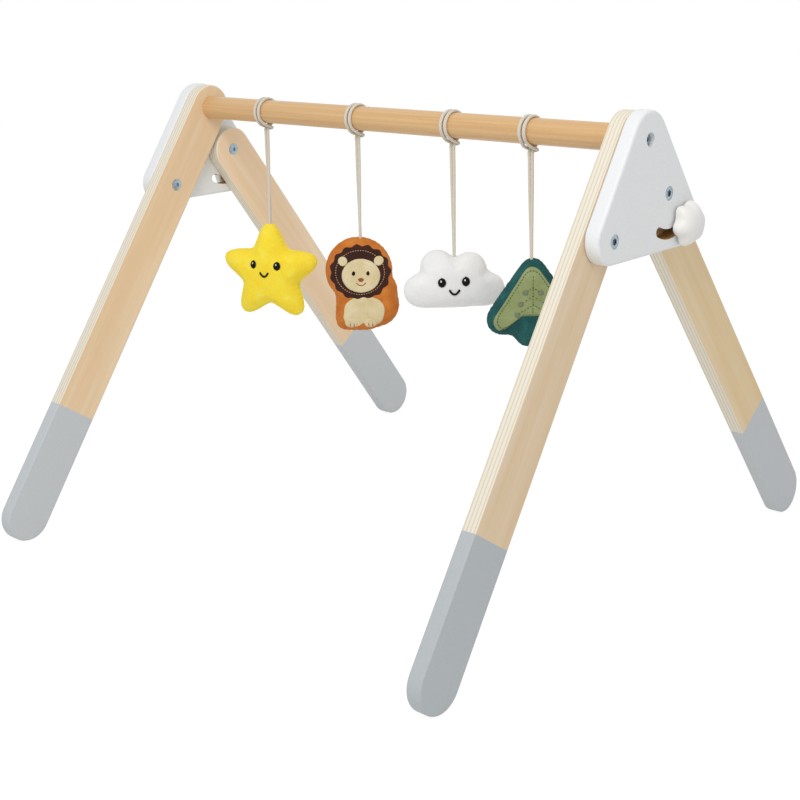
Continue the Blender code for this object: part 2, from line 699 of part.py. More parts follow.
def leg_end(end_name, side):
    """One end of the gym: plate, two legs, their screws, and the clamp."""

    def hole(node, name, place, radius, start, end):
        drill(node, f"{end_name}_{name}", place, radius, side * start, side * end)

    past_in, past_out = LEG_IN - CUT_PAST, PLATE_OUT + CUT_PAST
    between = (LEG_OUT + PLATE_IN) / 2

    front = leg(f"{end_name}_front_leg", side, BAR, FRONT_DOWN, FRONT_DROP, FRONT_PAINT_LENGTH)
    hole(front, "bar_bolt_leg_hole", BAR, SCREW_HOLE, past_in, between)
    hole(front, "leg_bolt_leg_hole", LEG_BOLT, SCREW_HOLE, past_in, between)
    hole(front, "leg_bolt_seat", LEG_BOLT, HEAD_HOLE, past_in, LEG_IN + HEAD_SINK)

    rear = leg(f"{end_name}_rear_leg", side, PIVOT, REAR_DOWN, REAR_DROP, REAR_PAINT_LENGTH)
    hole(rear, "pivot_leg_hole", PIVOT, SCREW_HOLE, past_in, between)
    hole(rear, "pivot_seat", PIVOT, HEAD_HOLE, past_in, LEG_IN + HEAD_SINK)
    pocket = LEG_OUT - LEG_INSERT_LENGTH - CLEARANCE
    hole(rear, "insert_pocket", KNOB, INSERT_DIAMETER / 2 + CLEARANCE, pocket, between)

    corners = [
        (Vector((PLATE_MIDDLE - PLATE_HALF_BASE, -PLATE_DROP)), PLATE_CORNER_RADIUS),
        (Vector((PLATE_MIDDLE + PLATE_HALF_BASE, -PLATE_DROP)), PLATE_CORNER_RADIUS),
        (Vector((PLATE_MIDDLE, 0)), PLATE_APEX_RADIUS),
    ]
    plate_mesh = flat_mesh(f"{end_name}_side_plate", belt(corners), PLATE_THICKNESS)
    plate = add_node(f"{end_name}_side_plate", plate_mesh, WHITE_PAINT)
    plate.rotation_euler = ACROSS_BAR
    plate.location = (side * (PLATE_IN + PLATE_OUT) / 2, BAR.x, BAR.y)
    round_edges(plate, PLATE_EDGE_ROUND)
    slot_mesh = flat_mesh(f"{end_name}_slot", slot_outline(), PLATE_THICKNESS + 2 * SEAT_GAP)
    slot = bpy.data.objects.new(f"{end_name}_slot", slot_mesh)
    CUTTERS.objects.link(slot)
    slot.rotation_euler = ACROSS_BAR
    slot.location = (side * (PLATE_IN + PLATE_OUT) / 2, PIVOT.x, PIVOT.y)
    cut(plate, slot)
    hole(plate, "bar_bolt_plate_hole", BAR, SCREW_HOLE, between, past_out)
    hole(plate, "bar_bolt_seat", BAR, HEAD_HOLE, PLATE_OUT - BAR_BOLT_SINK, past_out)
    sleeve_hole = SLEEVE_DIAMETER / 2 + CLEARANCE
    for name, place in (("leg_bolt", LEG_BOLT), ("pivot", PIVOT)):
        hole(plate, f"{name}_plate_hole", place, sleeve_hole, between, past_out)
        hole(plate, f"{name}_nut_seat", place, HEAD_HOLE, PLATE_OUT - HEAD_SINK, past_out)

    bar_bolt_seat = PLATE_OUT - BAR_BOLT_SINK + SEAT_GAP
    bar_bolt = bolt(f"{end_name}_bar_bolt", bar_bolt_seat - BAR_LENGTH / 2 + BAR_BOLT_GRIP)
    set_along_bar(bar_bolt, side, bar_bolt_seat, BAR)
    socket(bar_bolt, f"{end_name}_bar_bolt_socket", HEAD_HEIGHT)
    bar_insert = ring(
        f"{end_name}_bar_insert", INSERT_DIAMETER / 2, SCREW_HOLE, BAR_INSERT_LENGTH, ZINC
    )
    set_along_bar(bar_insert, side, BAR_LENGTH / 2, BAR)

    nut_seat = PLATE_OUT - HEAD_SINK + SEAT_GAP
    head_seat = LEG_IN + HEAD_SINK - SEAT_GAP
    tip = nut_seat - SLEEVE_LENGTH + SLEEVE_BORE_DEPTH - TIP_CHAMFER
    for name, place in (("leg", LEG_BOLT), ("pivot", PIVOT)):
        screw = bolt(f"{end_name}_{name}_bolt", tip - head_seat)
        set_along_bar(screw, -side, -head_seat, place)
        socket(screw, f"{end_name}_{name}_bolt_socket", HEAD_HEIGHT)
        nut = sleeve_nut(f"{end_name}_{name}_sleeve_nut")
        set_along_bar(nut, side, nut_seat, place)
        socket(nut, f"{end_name}_{name}_nut_socket", SLEEVE_FLANGE)

    leg_insert = ring(
        f"{end_name}_leg_insert", INSERT_DIAMETER / 2, SCREW_HOLE, LEG_INSERT_LENGTH, ZINC
    )
    set_along_bar(leg_insert, side, LEG_OUT, KNOB)
    washer = ring(
        f"{end_name}_clamp_washer", WASHER_DIAMETER / 2, SCREW_HOLE, WASHER_THICKNESS, ZINC
    )
    set_along_bar(washer, side, PLATE_OUT + SEAT_GAP + WASHER_THICKNESS, KNOB)
    stud_length = KNOB_BASE + KNOB_STUD_GRIP - LEG_OUT + LEG_STUD_GRIP
    shank = SCREW_DIAMETER / 2
    stud_profile = [
        (0, 0),
        (shank, 0),
        (shank, TIP_CHAMFER - stud_length),
        (shank - TIP_CHAMFER, -stud_length),
        (0, -stud_length),
    ]
    stud = turned(f"{end_name}_knob_stud", stud_profile, ZINC)
    set_along_bar(stud, side, KNOB_BASE + KNOB_STUD_GRIP, KNOB)
    knob = clamp_knob(f"{end_name}_clamp_knob", side)
    hole(knob, "knob_bore", KNOB, SCREW_HOLE, PLATE_OUT, KNOB_BASE + KNOB_STUD_GRIP + CLEARANCE)

    carry(joint_axis(f"{end_name}_fold_axis", side * LEG_OUT, PIVOT), rear, leg_insert)
    carry(joint_axis(f"{end_name}_knob_axis", side * KNOB_BASE, KNOB), washer, stud, knob)


def clamp_knob(name, side):
    """A lobed knob with a domed top, standing on z = 0; the lobes fade out towards the crown."""
    rings = []
    count = 6 * KNOB_LOBES
    for height, width, lobe in KNOB_SECTIONS:
        row = []
        for i in range(count):
            turn = 2 * math.pi * i / count
            wave = (1 - math.cos(KNOB_LOBES * turn)) / 2
            reach = width * (KNOB_RADIUS - KNOB_LOBE_DEPTH * lobe * wave)
            around = turn + KNOB_LOBE_TURN
            row.append((reach * math.cos(around), reach * math.sin(around), height * KNOB_HEIGHT))
        rings.append(row)
    knob = add_node(name, loft(name, rings, (0, 0, 0), (0, 0, KNOB_HEIGHT)), NYLON)
    set_along_bar(knob, side, KNOB_BASE, KNOB)
    return knob


for end_name, side in ENDS:
    leg_end(end_name, side)


def hang_toy(name, x, drop, facing, thickness, discs, fullness, material):
    """A stuffed toy with its hitch on the bar and its two strands."""
    hitch = tube(f"{name}_hitch", hitch_route())
    hitch.location = (x, BAR.x, BAR.y)
    carry(joint_axis(f"{name}_slide_axis", x, BAR), hitch)

    swing = joint_axis(f"{name}_swing_axis", x, BAR - Vector((0, SWING_DROP)))
    reach = toy_reach(discs)
    length = drop - SWING_DROP - toy_top(reach) - SEAT_GAP
    for strand_name, side in (("a", -1), ("b", 1)):
        strand = tube(f"{name}_strand_{strand_name}", *strand_route(side, length, facing))
        strand.location = swing.location
        carry(swing, strand)
    toy = add_node(f"{name}_toy", pillow(f"{name}_toy", reach, thickness, fullness), material)
    toy.rotation_euler = (math.pi / 2, 0, facing)
    toy.location = (x, BAR.x, BAR.y - drop)
    carry(swing, toy)


star_place = STAR_X, STAR_DROP, STAR_FACING
lion_place = LION_X, LION_DROP, LION_FACING
cloud_place = CLOUD_X, CLOUD_DROP, CLOUD_FACING
tree_place = TREE_X, TREE_DROP, TREE_FACING
hang_toy("star", *star_place, STAR_THICKNESS, star_discs(), STAR_FULLNESS, YELLOW_PLUSH)
hang_toy("lion", *lion_place, LION_THICKNESS, lion_discs(), FLAT_FULLNESS, ORANGE_PLUSH)
hang_toy("cloud", *cloud_place, CLOUD_THICKNESS, cloud_discs(), CLOUD_FULLNESS, WHITE_PLUSH)
hang_toy("tree", *tree_place, TREE_THICKNESS, tree_discs(), FLAT_FULLNESS, GREEN_PLUSH)

print(f"least gap of a hitch to itself: {least_gap(hitch_route()) / MM:.2f} mm")
for label, place in (("bar", BAR), ("pivot", PIVOT), ("leg bolt", LEG_BOLT), ("knob", KNOB)):
    print(f"{label} at y {place.x:.5f}, z {place.y:.5f}")
print(f"rear lean {math.degrees(REAR_LEAN):.3f} degrees, swing axis {SWING_DROP:.5f} under the bar")
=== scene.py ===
# %% [markdown]
# A wooden play gym, dressed for a render. The CAD model gives every place and every motion, and
# this lesson gives the looks: plywood with its layers, painted feet and plates, hitched cotton
# cords, and four stuffed toys. The frame is loaded first and is never moved.

# %% Load the frame
import json
import math

import bmesh
import bpy
from mathutils import Euler, Matrix, Vector, noise
from mathutils.bvhtree import BVHTree

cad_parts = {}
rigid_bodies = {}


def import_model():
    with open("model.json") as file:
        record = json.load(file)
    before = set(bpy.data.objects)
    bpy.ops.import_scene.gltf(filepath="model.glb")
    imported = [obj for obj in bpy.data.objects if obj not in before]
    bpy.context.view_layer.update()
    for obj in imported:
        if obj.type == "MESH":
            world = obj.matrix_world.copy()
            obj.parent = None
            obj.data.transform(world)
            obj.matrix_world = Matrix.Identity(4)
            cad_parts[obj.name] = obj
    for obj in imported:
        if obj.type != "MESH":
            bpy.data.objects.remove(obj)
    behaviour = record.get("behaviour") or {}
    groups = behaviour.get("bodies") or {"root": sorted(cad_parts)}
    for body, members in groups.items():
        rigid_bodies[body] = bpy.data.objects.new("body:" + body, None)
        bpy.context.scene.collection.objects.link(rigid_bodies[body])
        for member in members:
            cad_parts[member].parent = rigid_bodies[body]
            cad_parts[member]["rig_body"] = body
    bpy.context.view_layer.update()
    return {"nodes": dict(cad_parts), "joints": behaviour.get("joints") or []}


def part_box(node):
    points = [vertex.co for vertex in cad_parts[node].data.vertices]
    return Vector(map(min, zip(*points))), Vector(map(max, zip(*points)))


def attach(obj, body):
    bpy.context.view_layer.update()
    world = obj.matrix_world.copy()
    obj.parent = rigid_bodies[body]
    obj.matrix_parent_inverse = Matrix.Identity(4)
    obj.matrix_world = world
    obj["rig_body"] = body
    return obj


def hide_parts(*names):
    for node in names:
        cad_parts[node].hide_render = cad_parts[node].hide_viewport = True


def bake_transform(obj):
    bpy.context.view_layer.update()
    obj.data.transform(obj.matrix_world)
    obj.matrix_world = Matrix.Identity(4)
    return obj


for old in list(bpy.data.objects):
    bpy.data.objects.remove(old, do_unlink=True)
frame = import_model()

# %% [markdown]
# Five small helpers serve the whole lesson. Colours are written as sRGB hex values, as a paint
# chip gives them, and one function turns them to the linear values that a shader wants. Another
# adds a node with its settings and its links, so a tree reads from top to bottom. The other three
# start a finish, end it, and put a finished piece on its body.

# %% Helpers
MM = 0.001
TIMES = {"operation": "MULTIPLY"}


def linear(code):
    """A linear RGBA colour from an sRGB hex value."""
    parts = [int(code[i : i + 2], 16) / 255 for i in (1, 3, 5)]
    return (*(c / 12.92 if c <= 0.04045 else ((c + 0.055) / 1.055) ** 2.4 for c in parts), 1)


def add(tree, kind, settings=None, links=None, tones=()):
    """Adds a node: settings are its properties, links its inputs as sockets, nodes or values, and
    tones the hex values that a colour ramp runs through evenly."""
    node = tree.nodes.new(kind)
    for key, value in (settings or {}).items():
        setattr(node, key, value)
    for key, value in (links or {}).items():
        if isinstance(value, bpy.types.Node):
            value = value.outputs[0]
        if isinstance(value, bpy.types.NodeSocket):
            tree.links.new(value, node.inputs[key])
        else:
            node.inputs[key].default_value = value
    if tones:
        stops = node.color_ramp.elements
        stops[0].color, stops[1].color = linear(tones[0]), linear(tones[-1])
        for i, tone in enumerate(tones[1:-1], 1):
            stops.new(i / (len(tones) - 1)).color = linear(tone)
    return node


def new_finish(name, **constants):
    """A material with its Principled shader; constants are set on the shader's own sockets."""
    finish = bpy.data.materials.new(name)
    finish.use_nodes = True
    shader = finish.node_tree.nodes["Principled BSDF"]
    for key, value in constants.items():
        label = key.replace("_", " ").title().replace("Ior", "IOR")
        shader.inputs[label].default_value = value
    return finish, finish.node_tree, shader


def end_finish(tree, shader, colour, relief, strength, depth):
    """Ends a finish: its colour and its relief, of a depth in metres, go to the shader."""
    bump = add(
        tree, "ShaderNodeBump", {}, {"Strength": strength, "Distance": depth, "Height": relief}
    )
    tree.links.new(colour, shader.inputs["Base Color"])
    tree.links.new(bump.outputs[0], shader.inputs["Normal"])


def new_piece(name, mesh, body, replaced=()):
    """A finished piece at the origin, on its body; the CAD parts that it replaces are hidden."""
    piece = bpy.data.objects.new(name, mesh)
    bpy.context.scene.collection.objects.link(piece)
    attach(piece, body)
    if replaced:
        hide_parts(*replaced)
    return piece


print("helpers ready")

# %% [markdown]
# The camera stands where the photograph was taken from. Its place, turn and focal length come
# from a fit of the frame's straight edges, and the small shift puts the object as high in the
# picture.

# %% Camera
IMAGE_PIXELS = 800
FOCAL_PIXELS = 1467.03
OPTICAL_AXIS_ROW = 232
CAMERA_PLACE = Vector((0.99588, -1.08660, 0.58453))
AZIMUTH, ELEVATION, ROLL = (math.radians(turn) for turn in (42.521, 10.380, -1.303))

back = Vector(
    (
        math.sin(AZIMUTH) * math.cos(ELEVATION),
        -math.cos(AZIMUTH) * math.cos(ELEVATION),
        math.sin(ELEVATION),
    )
)
level = Vector((math.cos(AZIMUTH), math.sin(AZIMUTH), 0))
rise = back.cross(level)
across = math.cos(ROLL) * level + math.sin(ROLL) * rise
upward = -math.sin(ROLL) * level + math.cos(ROLL) * rise

lens = bpy.data.cameras.new("camera")
lens.sensor_width = 36
lens.lens = FOCAL_PIXELS / IMAGE_PIXELS * lens.sensor_width
lens.shift_y = (OPTICAL_AXIS_ROW - IMAGE_PIXELS / 2) / IMAGE_PIXELS
camera = bpy.data.objects.new("camera", lens)
camera.matrix_world = Matrix.Translation(CAMERA_PLACE) @ Matrix(
    (across, upward, back)
).transposed().to_4x4()
bpy.context.scene.collection.objects.link(camera)
bpy.context.scene.camera = camera
print(f"lens {lens.lens:.1f} mm, shift {lens.shift_y:.3f}")

# %% [markdown]
# A product shot on white: an even white surround and one soft lamp above the camera. The lamp
# stands between the two ends, so it lights the left end's inner faces and leaves the right end's
# outer faces dimmer. The surround is pure white only for rays that show it, so it doesn't bleach
# the wood.

# %% Light
SURROUND_LIGHT = 0.62
KEY_WATTS, KEY_SIZE = 11.5, 0.9
KEY_PLACE, KEY_AIM = Vector((0.6, -1.05, 1.55)), Vector((0, 0, 0.25))
LARGER = {"operation": "MAXIMUM"}

bpy.context.scene.view_settings.view_transform = "Standard"
world = bpy.data.worlds.new("white_surround")
bpy.context.scene.world = world
world.use_nodes = True
sky = world.node_tree
rays = add(sky, "ShaderNodeLightPath").outputs
bounced = add(
    sky, "ShaderNodeMath", LARGER, {0: rays["Is Glossy Ray"], 1: rays["Is Transmission Ray"]}
)
shown = add(sky, "ShaderNodeMath", LARGER, {0: rays["Is Camera Ray"], 1: bounced})
strength = add(
    sky, "ShaderNodeMapRange", {}, {"Value": shown, "To Min": SURROUND_LIGHT, "To Max": 1}
)
surround = sky.nodes["Background"]
surround.inputs["Color"].default_value = (1, 1, 1, 1)
sky.links.new(strength.outputs[0], surround.inputs["Strength"])

key = bpy.data.lights.new("key", "AREA")
key.shape = "DISK"
key.size = KEY_SIZE
key.energy = KEY_WATTS
key_lamp = bpy.data.objects.new("key", key)
key_lamp.location = KEY_PLACE
key_lamp.rotation_euler = (KEY_AIM - KEY_PLACE).to_track_quat("-Z", "Y").to_euler()
bpy.context.scene.collection.objects.link(key_lamp)
print("one key lamp and a white surround")

# %% [markdown]
# The floor is plain and pale. It mixes a dull white with a glow of its own, which only the rays
# that show it see, so it looks as white as the surround and still keeps a faint shadow.

# %% Floor
FLOOR_GLOW, FLOOR_WHITE = 0.82, 1.12
FLOOR_HALF, FLOOR_HEIGHT = 4, -0.2 * MM

floor_mesh = bpy.data.meshes.new("floor")
floor_mesh.from_pydata(
    [
        (x * FLOOR_HALF, y * FLOOR_HALF, FLOOR_HEIGHT)
        for x, y in ((-1, -1), (1, -1), (1, 1), (-1, 1))
    ],
    [],
    [(0, 1, 2, 3)],
)
floor_paint = bpy.data.materials.new("white_floor")
floor_paint.use_nodes = True
ground = floor_paint.node_tree
ground.nodes.remove(ground.nodes["Principled BSDF"])
rays = add(ground, "ShaderNodeLightPath").outputs
shown = add(ground, "ShaderNodeMath", LARGER, {0: rays["Is Camera Ray"], 1: rays["Is Glossy Ray"]})
glow = add(ground, "ShaderNodeMath", TIMES, {0: shown, 1: FLOOR_GLOW})
dull = add(ground, "ShaderNodeBsdfDiffuse", {}, {"Color": linear("#F4F4F4")})
lit = add(ground, "ShaderNodeEmission", {}, {"Color": (1, 1, 1, 1), "Strength": FLOOR_WHITE})
floor_mix = add(ground, "ShaderNodeMixShader", {}, {0: glow, 1: dull, 2: lit})
ground.links.new(floor_mix.outputs[0], ground.nodes["Material Output"].inputs["Surface"])
floor_mesh.materials.append(floor_paint)
floor = bpy.data.objects.new("floor", floor_mesh)
bpy.context.scene.collection.objects.link(floor)
print("pale floor,", 2 * FLOOR_HALF, "m wide")

# %% [markdown]
# The frame's joints say where things turn, so the places in this lesson come from them: the bar's
# axis, the pivots of the rear legs, the clamp knobs, and the four points that the toys swing
# from.

# %% Places from the frame
joints = {joint["name"]: joint for joint in frame["joints"]}
bar_low, bar_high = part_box("crossbar")
BAR_Y, BAR_Z = (bar_low.y + bar_high.y) / 2, (bar_low.z + bar_high.z) / 2
BAR_RADIUS = (bar_high.z - bar_low.z) / 2
PIVOT = Vector(joints["right_rear_leg_fold"]["pos_m"])
KNOB = Vector(joints["right_knob_screw"]["pos_m"])
ENDS = (("left", -1), ("right", 1))
TOYS = ("star", "lion", "cloud", "tree")
SWING = {name: Vector(joints[f"{name}_swing"]["pos_m"]) for name in TOYS}
print("bar", round(BAR_Y, 5), round(BAR_Z, 5))
print("swing points", [round(place.x, 4) for place in SWING.values()])

# %% [markdown]
# A stuffed toy is cut from two flat panels, so it is known by its outline. Each outline here is
# the union of round swells, in millimetres on the toy's own face, and is kept as a reach from the
# toy's middle for each degree of turn.

# %% Outlines of the toys
# Each toy's drop from the bar's axis to its middle, the turn of its face, its thickness, and how
# square its panels are towards the rim
DROP = {"star": 180 * MM, "lion": 172.5 * MM, "cloud": 154 * MM, "tree": 161.7 * MM}
FACING = {"star": 22, "lion": 40, "cloud": 43, "tree": 42}
THICKNESS = {"star": 36 * MM, "lion": 24 * MM, "cloud": 38 * MM, "tree": 22 * MM}
FULLNESS = {"star": 2.4, "lion": 4, "cloud": 2.6, "tree": 4}
# How far the stuffing leaves each toy's outline from its cord's line, across and up, in mm
NUDGE = {"star": (-1.2, 1.2), "lion": (0, 0), "cloud": (-0.4, 0), "tree": (0, 0)}
SWELL_STEPS = 12


def swell_between(a, b):
    """Discs (u, v, radius) filling the straight swell from one disc to another."""
    steps = range(SWELL_STEPS + 1)
    return [tuple(p + (q - p) * i / SWELL_STEPS for p, q in zip(a, b)) for i in steps]


def swell_round(corners):
    """Discs filling the swells from each corner disc to the next and back to the first."""
    pairs = zip(corners, corners[1:] + corners[:1])
    return [disc for a, b in pairs for disc in swell_between(a, b)]


def eased(reach, spread):
    """A reach for each degree, averaged over its neighbours within a spread of degrees."""
    near = range(-spread, spread + 1)
    return [sum(reach[(i + k) % 360] for k in near) / len(near) for i in range(360)]


def reach_of(discs, spread=5):
    """The reach of a union of discs from the middle, by degrees from +u, with eased crevices."""
    reach = []
    for degree in range(360):
        turn = math.radians(degree)
        far = 0.0
        for u, v, radius in discs:
            along = math.cos(turn) * u + math.sin(turn) * v
            beside = abs(math.cos(turn) * v - math.sin(turn) * u)
            if beside < radius:
                far = max(far, along + math.sqrt(radius**2 - beside**2))
        reach.append(far * MM)
    return eased(eased(reach, spread), spread)


star_discs = []
for arm in range(5):
    turn = math.radians(90 + 72 * arm)
    star_discs += swell_between((0, 0, 27), (49.4 * math.cos(turn), 47 * math.sin(turn), 9.5))
lion_discs = [(-2.4, 14, 34.5), (18, -8, 19), (15.7, -23.5, 23)]
lion_discs += swell_between((-18.8, -41, 8.9), (-17, -14, 9.5))
lion_discs += swell_between((-18.8, -41, 8.9), (7, -40, 9.9))
cloud_discs = [(-16.3, 15.2, 16.2), (15.8, 12.6, 15.6), (0.3, 9, 14.6)]
cloud_discs += swell_between((-32.6, -8.9, 16.8), (33.1, -8.4, 16.3))
tree_discs = swell_round(((1.2, 31, 11.4), (-28.7, -16.4, 14.3), (28.5, -15.2, 14.3)))
tree_discs += swell_between((-0.5, -22, 10), (-1, -33, 10))
tree_discs += swell_between((-5.5, -22, 10), (-6, -31.5, 10.5))
REACH = {
    "star": reach_of(star_discs),
    "lion": reach_of(lion_discs),
    "cloud": reach_of(cloud_discs),
    "tree": reach_of(tree_discs),
}


def toy_frame(name):
    """The matrix from a toy's own face (u across, v up, w out of the face) to the gym."""
    turn = math.radians(FACING[name])
    out = Matrix.Translation((SWING[name].x, BAR_Y, BAR_Z - DROP[name]))
    return out @ Euler((math.pi / 2, 0, turn)).to_matrix().to_4x4()


for name in TOYS:
    print(name, "reach up", round(REACH[name][90] / MM, 1), "mm")

# %% [markdown]
# Each toy hangs on one length of braided cotton cord. It leaves the toy, runs up, passes round the
# bar in a cow hitch, and comes back down beside itself into the toy. A mesh tube along that one
# path follows it best, and the braid can be real relief. The route is the CAD model's, drawn a
# little tighter. The pair of strands turns on its way down, so that it enters the toy's seam one
# strand behind the other.

# %% The cord's route
CORD_DIAMETER = 3 * MM
STRAND_HALF_SPACING = 1.75 * MM
RING_HALF_SPACING = 2.75 * MM
BIGHT_HALF_SPACING = 4.9 * MM
HITCH_TAIL = 9.1 * MM
WRAP_RADIUS = BAR_RADIUS + CORD_DIAMETER / 2
CORD_STEP = 0.8 * MM
CORD_IN_TOY = 6 * MM
CURVE_STEPS, STRAND_STEPS = 24, 12


def smooth_route(points, step):
    """Even points along a smooth curve through the given ones."""
    dense = []
    framed = [2 * points[0] - points[1], *points, 2 * points[-1] - points[-2]]
    for a, b, c, d in zip(framed, framed[1:], framed[2:], framed[3:]):
        for i in range(CURVE_STEPS):
            t = i / CURVE_STEPS
            square = (2 * a - 5 * b + 4 * c - d) * t**2
            cube = (3 * b - a - 3 * c + d) * t**3
            dense.append(0.5 * (2 * b + (c - a) * t + square + cube))
    dense.append(points[-1].copy())
    lengths = [0.0]
    for a, b in zip(dense, dense[1:]):
        lengths.append(lengths[-1] + (b - a).length)
    count = max(2, round(lengths[-1] / step))
    route, at = [], 0
    for i in range(count + 1):
        wanted = lengths[-1] * i / count
        while at < len(lengths) - 2 and lengths[at + 1] < wanted:
            at += 1
        span = lengths[at + 1] - lengths[at]
        route.append(dense[at].lerp(dense[at + 1], (wanted - lengths[at]) / span))
    return route, lengths[-1]


def round_bar(side, half_spacing, turn, lift):
    """A point by its turn from under the bar towards the rear, and its lift off the bar."""
    reach = WRAP_RADIUS + lift
    angle = math.radians(turn)
    return Vector((side * half_spacing, reach * math.sin(angle), -reach * math.cos(angle)))


def half_hitch(side):
    """One side of the hitch, from its strand up, over the bar and down in front to the bight."""
    points = [
        round_bar(side, STRAND_HALF_SPACING, 0, HITCH_TAIL),
        round_bar(side, STRAND_HALF_SPACING, 0, 6.4 * MM),
        round_bar(side, STRAND_HALF_SPACING, 6, 2.8 * MM),
        round_bar(side, 2 * MM, 24, 0.5 * MM),
    ]
    points += [round_bar(side, RING_HALF_SPACING, turn, 0) for turn in range(50, 311, 20)]
    return points + [
        round_bar(side, 3.9 * MM, 335, 0.6 * MM),
        round_bar(side, BIGHT_HALF_SPACING, 355, 1.6 * MM),
        round_bar(side, BIGHT_HALF_SPACING, 368, 3 * MM),
        round_bar(side, 3.6 * MM, 375, 4.7 * MM),
    ]


def toy_top(reach):
    """How high a toy's edge stands under its two strands, one behind the other."""
    heights = [0.0]
    for degree, far in enumerate(reach):
        turn = math.radians(degree)
        if abs(far * math.cos(turn)) <= CORD_DIAMETER / 2:
            heights.append(far * math.sin(turn))
    return max(heights)


def cord_points(name):
    """The whole cord of one toy in the gym's frame, and its length."""
    swing = SWING[name]
    centre = Vector((swing.x, BAR_Y, BAR_Z))
    length = swing.z - (BAR_Z - DROP[name] + toy_top(REACH[name])) + CORD_IN_TOY
    facing = math.radians(FACING[name] - 90)
    strands = {}
    for side in (-1, 1):
        strand = []
        for i in range(1, STRAND_STEPS + 1):
            share = i / STRAND_STEPS
            turn = facing * share**2 * (3 - 2 * share)
            reach = side * STRAND_HALF_SPACING
            offset = Vector((reach * math.cos(turn), reach * math.sin(turn), -length * share))
            strand.append(swing + offset)
        strands[side] = strand
    hitch = [*half_hitch(-1), round_bar(0, 0, 376, 5.6 * MM), *reversed(half_hitch(1))]
    points = list(reversed(strands[-1])) + [centre + p for p in hitch] + strands[1]
    return smooth_route(points, CORD_STEP)


cord_routes = {name: cord_points(name) for name in TOYS}
for name, (route, length) in cord_routes.items():
    print(f"{name} cord {length / MM:.0f} mm on {len(route)} points")

# %% [markdown]
# Cotton braid is dull and warm white, with strands that cross in small diamonds. The finish reads
# the tube's own UV map, with one unit round the cord and metres along it, and darkens the furrows
# between the strands in the colour, as painted shade. The real strands are about 0.8 mm wide, and
# they are drawn at 1.5 mm so that they show.

# %% Cotton cord finish
BRAID_PITCH = 3 * MM
BRAID_STRANDS = 4
FUZZ_SIZE = 0.9 * MM
TIMES_PLUS = {"operation": "MULTIPLY_ADD"}

cotton, tree, shader = new_finish(
    "braided_cotton", roughness=0.9, sheen_weight=0.25, sheen_roughness=0.5
)
uv = add(tree, "ShaderNodeUVMap", {"uv_map": "braid"})
axes = add(tree, "ShaderNodeSeparateXYZ", {}, {0: uv}).outputs
turns = [
    add(tree, "ShaderNodeMath", TIMES, {0: axis, 1: rate})
    for axis, rate in zip(axes, (2 * math.pi * BRAID_STRANDS, 2 * math.pi / BRAID_PITCH))
]
waves = []
for operation in ("ADD", "SUBTRACT"):
    phase = add(tree, "ShaderNodeMath", {"operation": operation}, dict(enumerate(turns)))
    waves.append(add(tree, "ShaderNodeMath", {"operation": "SINE"}, {0: phase}))
relief = add(tree, "ShaderNodeMath", LARGER, dict(enumerate(waves)))
place = add(tree, "ShaderNodeTexCoord").outputs["Object"]
fuzz = add(tree, "ShaderNodeTexNoise", {}, {"Vector": place, "Scale": 1 / FUZZ_SIZE, "Detail": 3})
height = add(tree, "ShaderNodeMath", TIMES_PLUS, {0: fuzz, 1: 0.9, 2: relief})
share = add(tree, "ShaderNodeMapRange", {}, {0: height, 1: -0.6, 2: 1.6})
# The colour is darker where the braid is low: painted shade in the furrows between the strands
tone = add(tree, "ShaderNodeValToRGB", {}, {0: share}, ("#C2B7A2", "#E8E1D3"))
end_finish(tree, shader, tone.outputs[0], height, 0.5, 0.25 * MM)
print(cotton.name)

# %% [markdown]
# The tube is lofted ring by ring along the route. A ring's frame is carried from the last one, so
# the tube doesn't twist, and each point's radius has a little of the braid's relief. Soft cord
# pulled round a bar flattens, so there the tube is drawn wider along the bar.

# %% Cords
CORD_SIDES = 12
BRAID_RELIEF, BRAID_LEVEL = 0.06 * MM, 0.4
HITCH_WIDENING, WIDENS_OVER = 0.24, 6 * MM


def braided_tube(name, route, hitch_from):
    """A cord along a route, flattened where it stands above a height."""
    mesh = bpy.data.meshes.new(name)
    shape = bmesh.new()
    uv_layer = shape.loops.layers.uv.new("braid")
    rows, along, distance = [], [], 0.0
    side_way = Vector((0, 1, 0))
    for i, point in enumerate(route):
        ahead = (route[min(i + 1, len(route) - 1)] - route[max(i - 1, 0)]).normalized()
        side_way = (side_way - ahead * side_way.dot(ahead)).normalized()
        other = ahead.cross(side_way)
        distance += (point - route[i - 1]).length if i else 0
        widening = HITCH_WIDENING * min(1.0, max(0.0, (point.z - hitch_from) / WIDENS_OVER))
        cross = 2 * math.pi * distance / BRAID_PITCH
        row = []
        for k in range(CORD_SIDES):
            turn = 2 * math.pi * k / CORD_SIDES
            strand = BRAID_STRANDS * turn
            wave = max(math.sin(strand + cross), math.sin(strand - cross))
            radius = CORD_DIAMETER / 2 + BRAID_RELIEF * (wave - BRAID_LEVEL)
            offset = radius * (math.cos(turn) * side_way + math.sin(turn) * other)
            offset.x *= 1 + widening
            row.append(shape.verts.new(point + offset))
        rows.append(row)
        along.append(distance)
    for i in range(len(rows) - 1):
        for k in range(CORD_SIDES):
            j = (k + 1) % CORD_SIDES
            face = shape.faces.new((rows[i][k], rows[i][j], rows[i + 1][j], rows[i + 1][k]))
            corners = ((k, i), (k + 1, i), (k + 1, i + 1), (k, i + 1))
            for loop, (u, v) in zip(face.loops, corners):
                loop[uv_layer].uv = (u / CORD_SIDES, along[v])
    for row in (list(reversed(rows[0])), rows[-1]):
        shape.faces.new(row)
    bmesh.ops.recalc_face_normals(shape, faces=shape.faces)
    shape.to_mesh(mesh)
    shape.free()
    mesh.shade_smooth()
    mesh.materials.append(cotton)
    return mesh


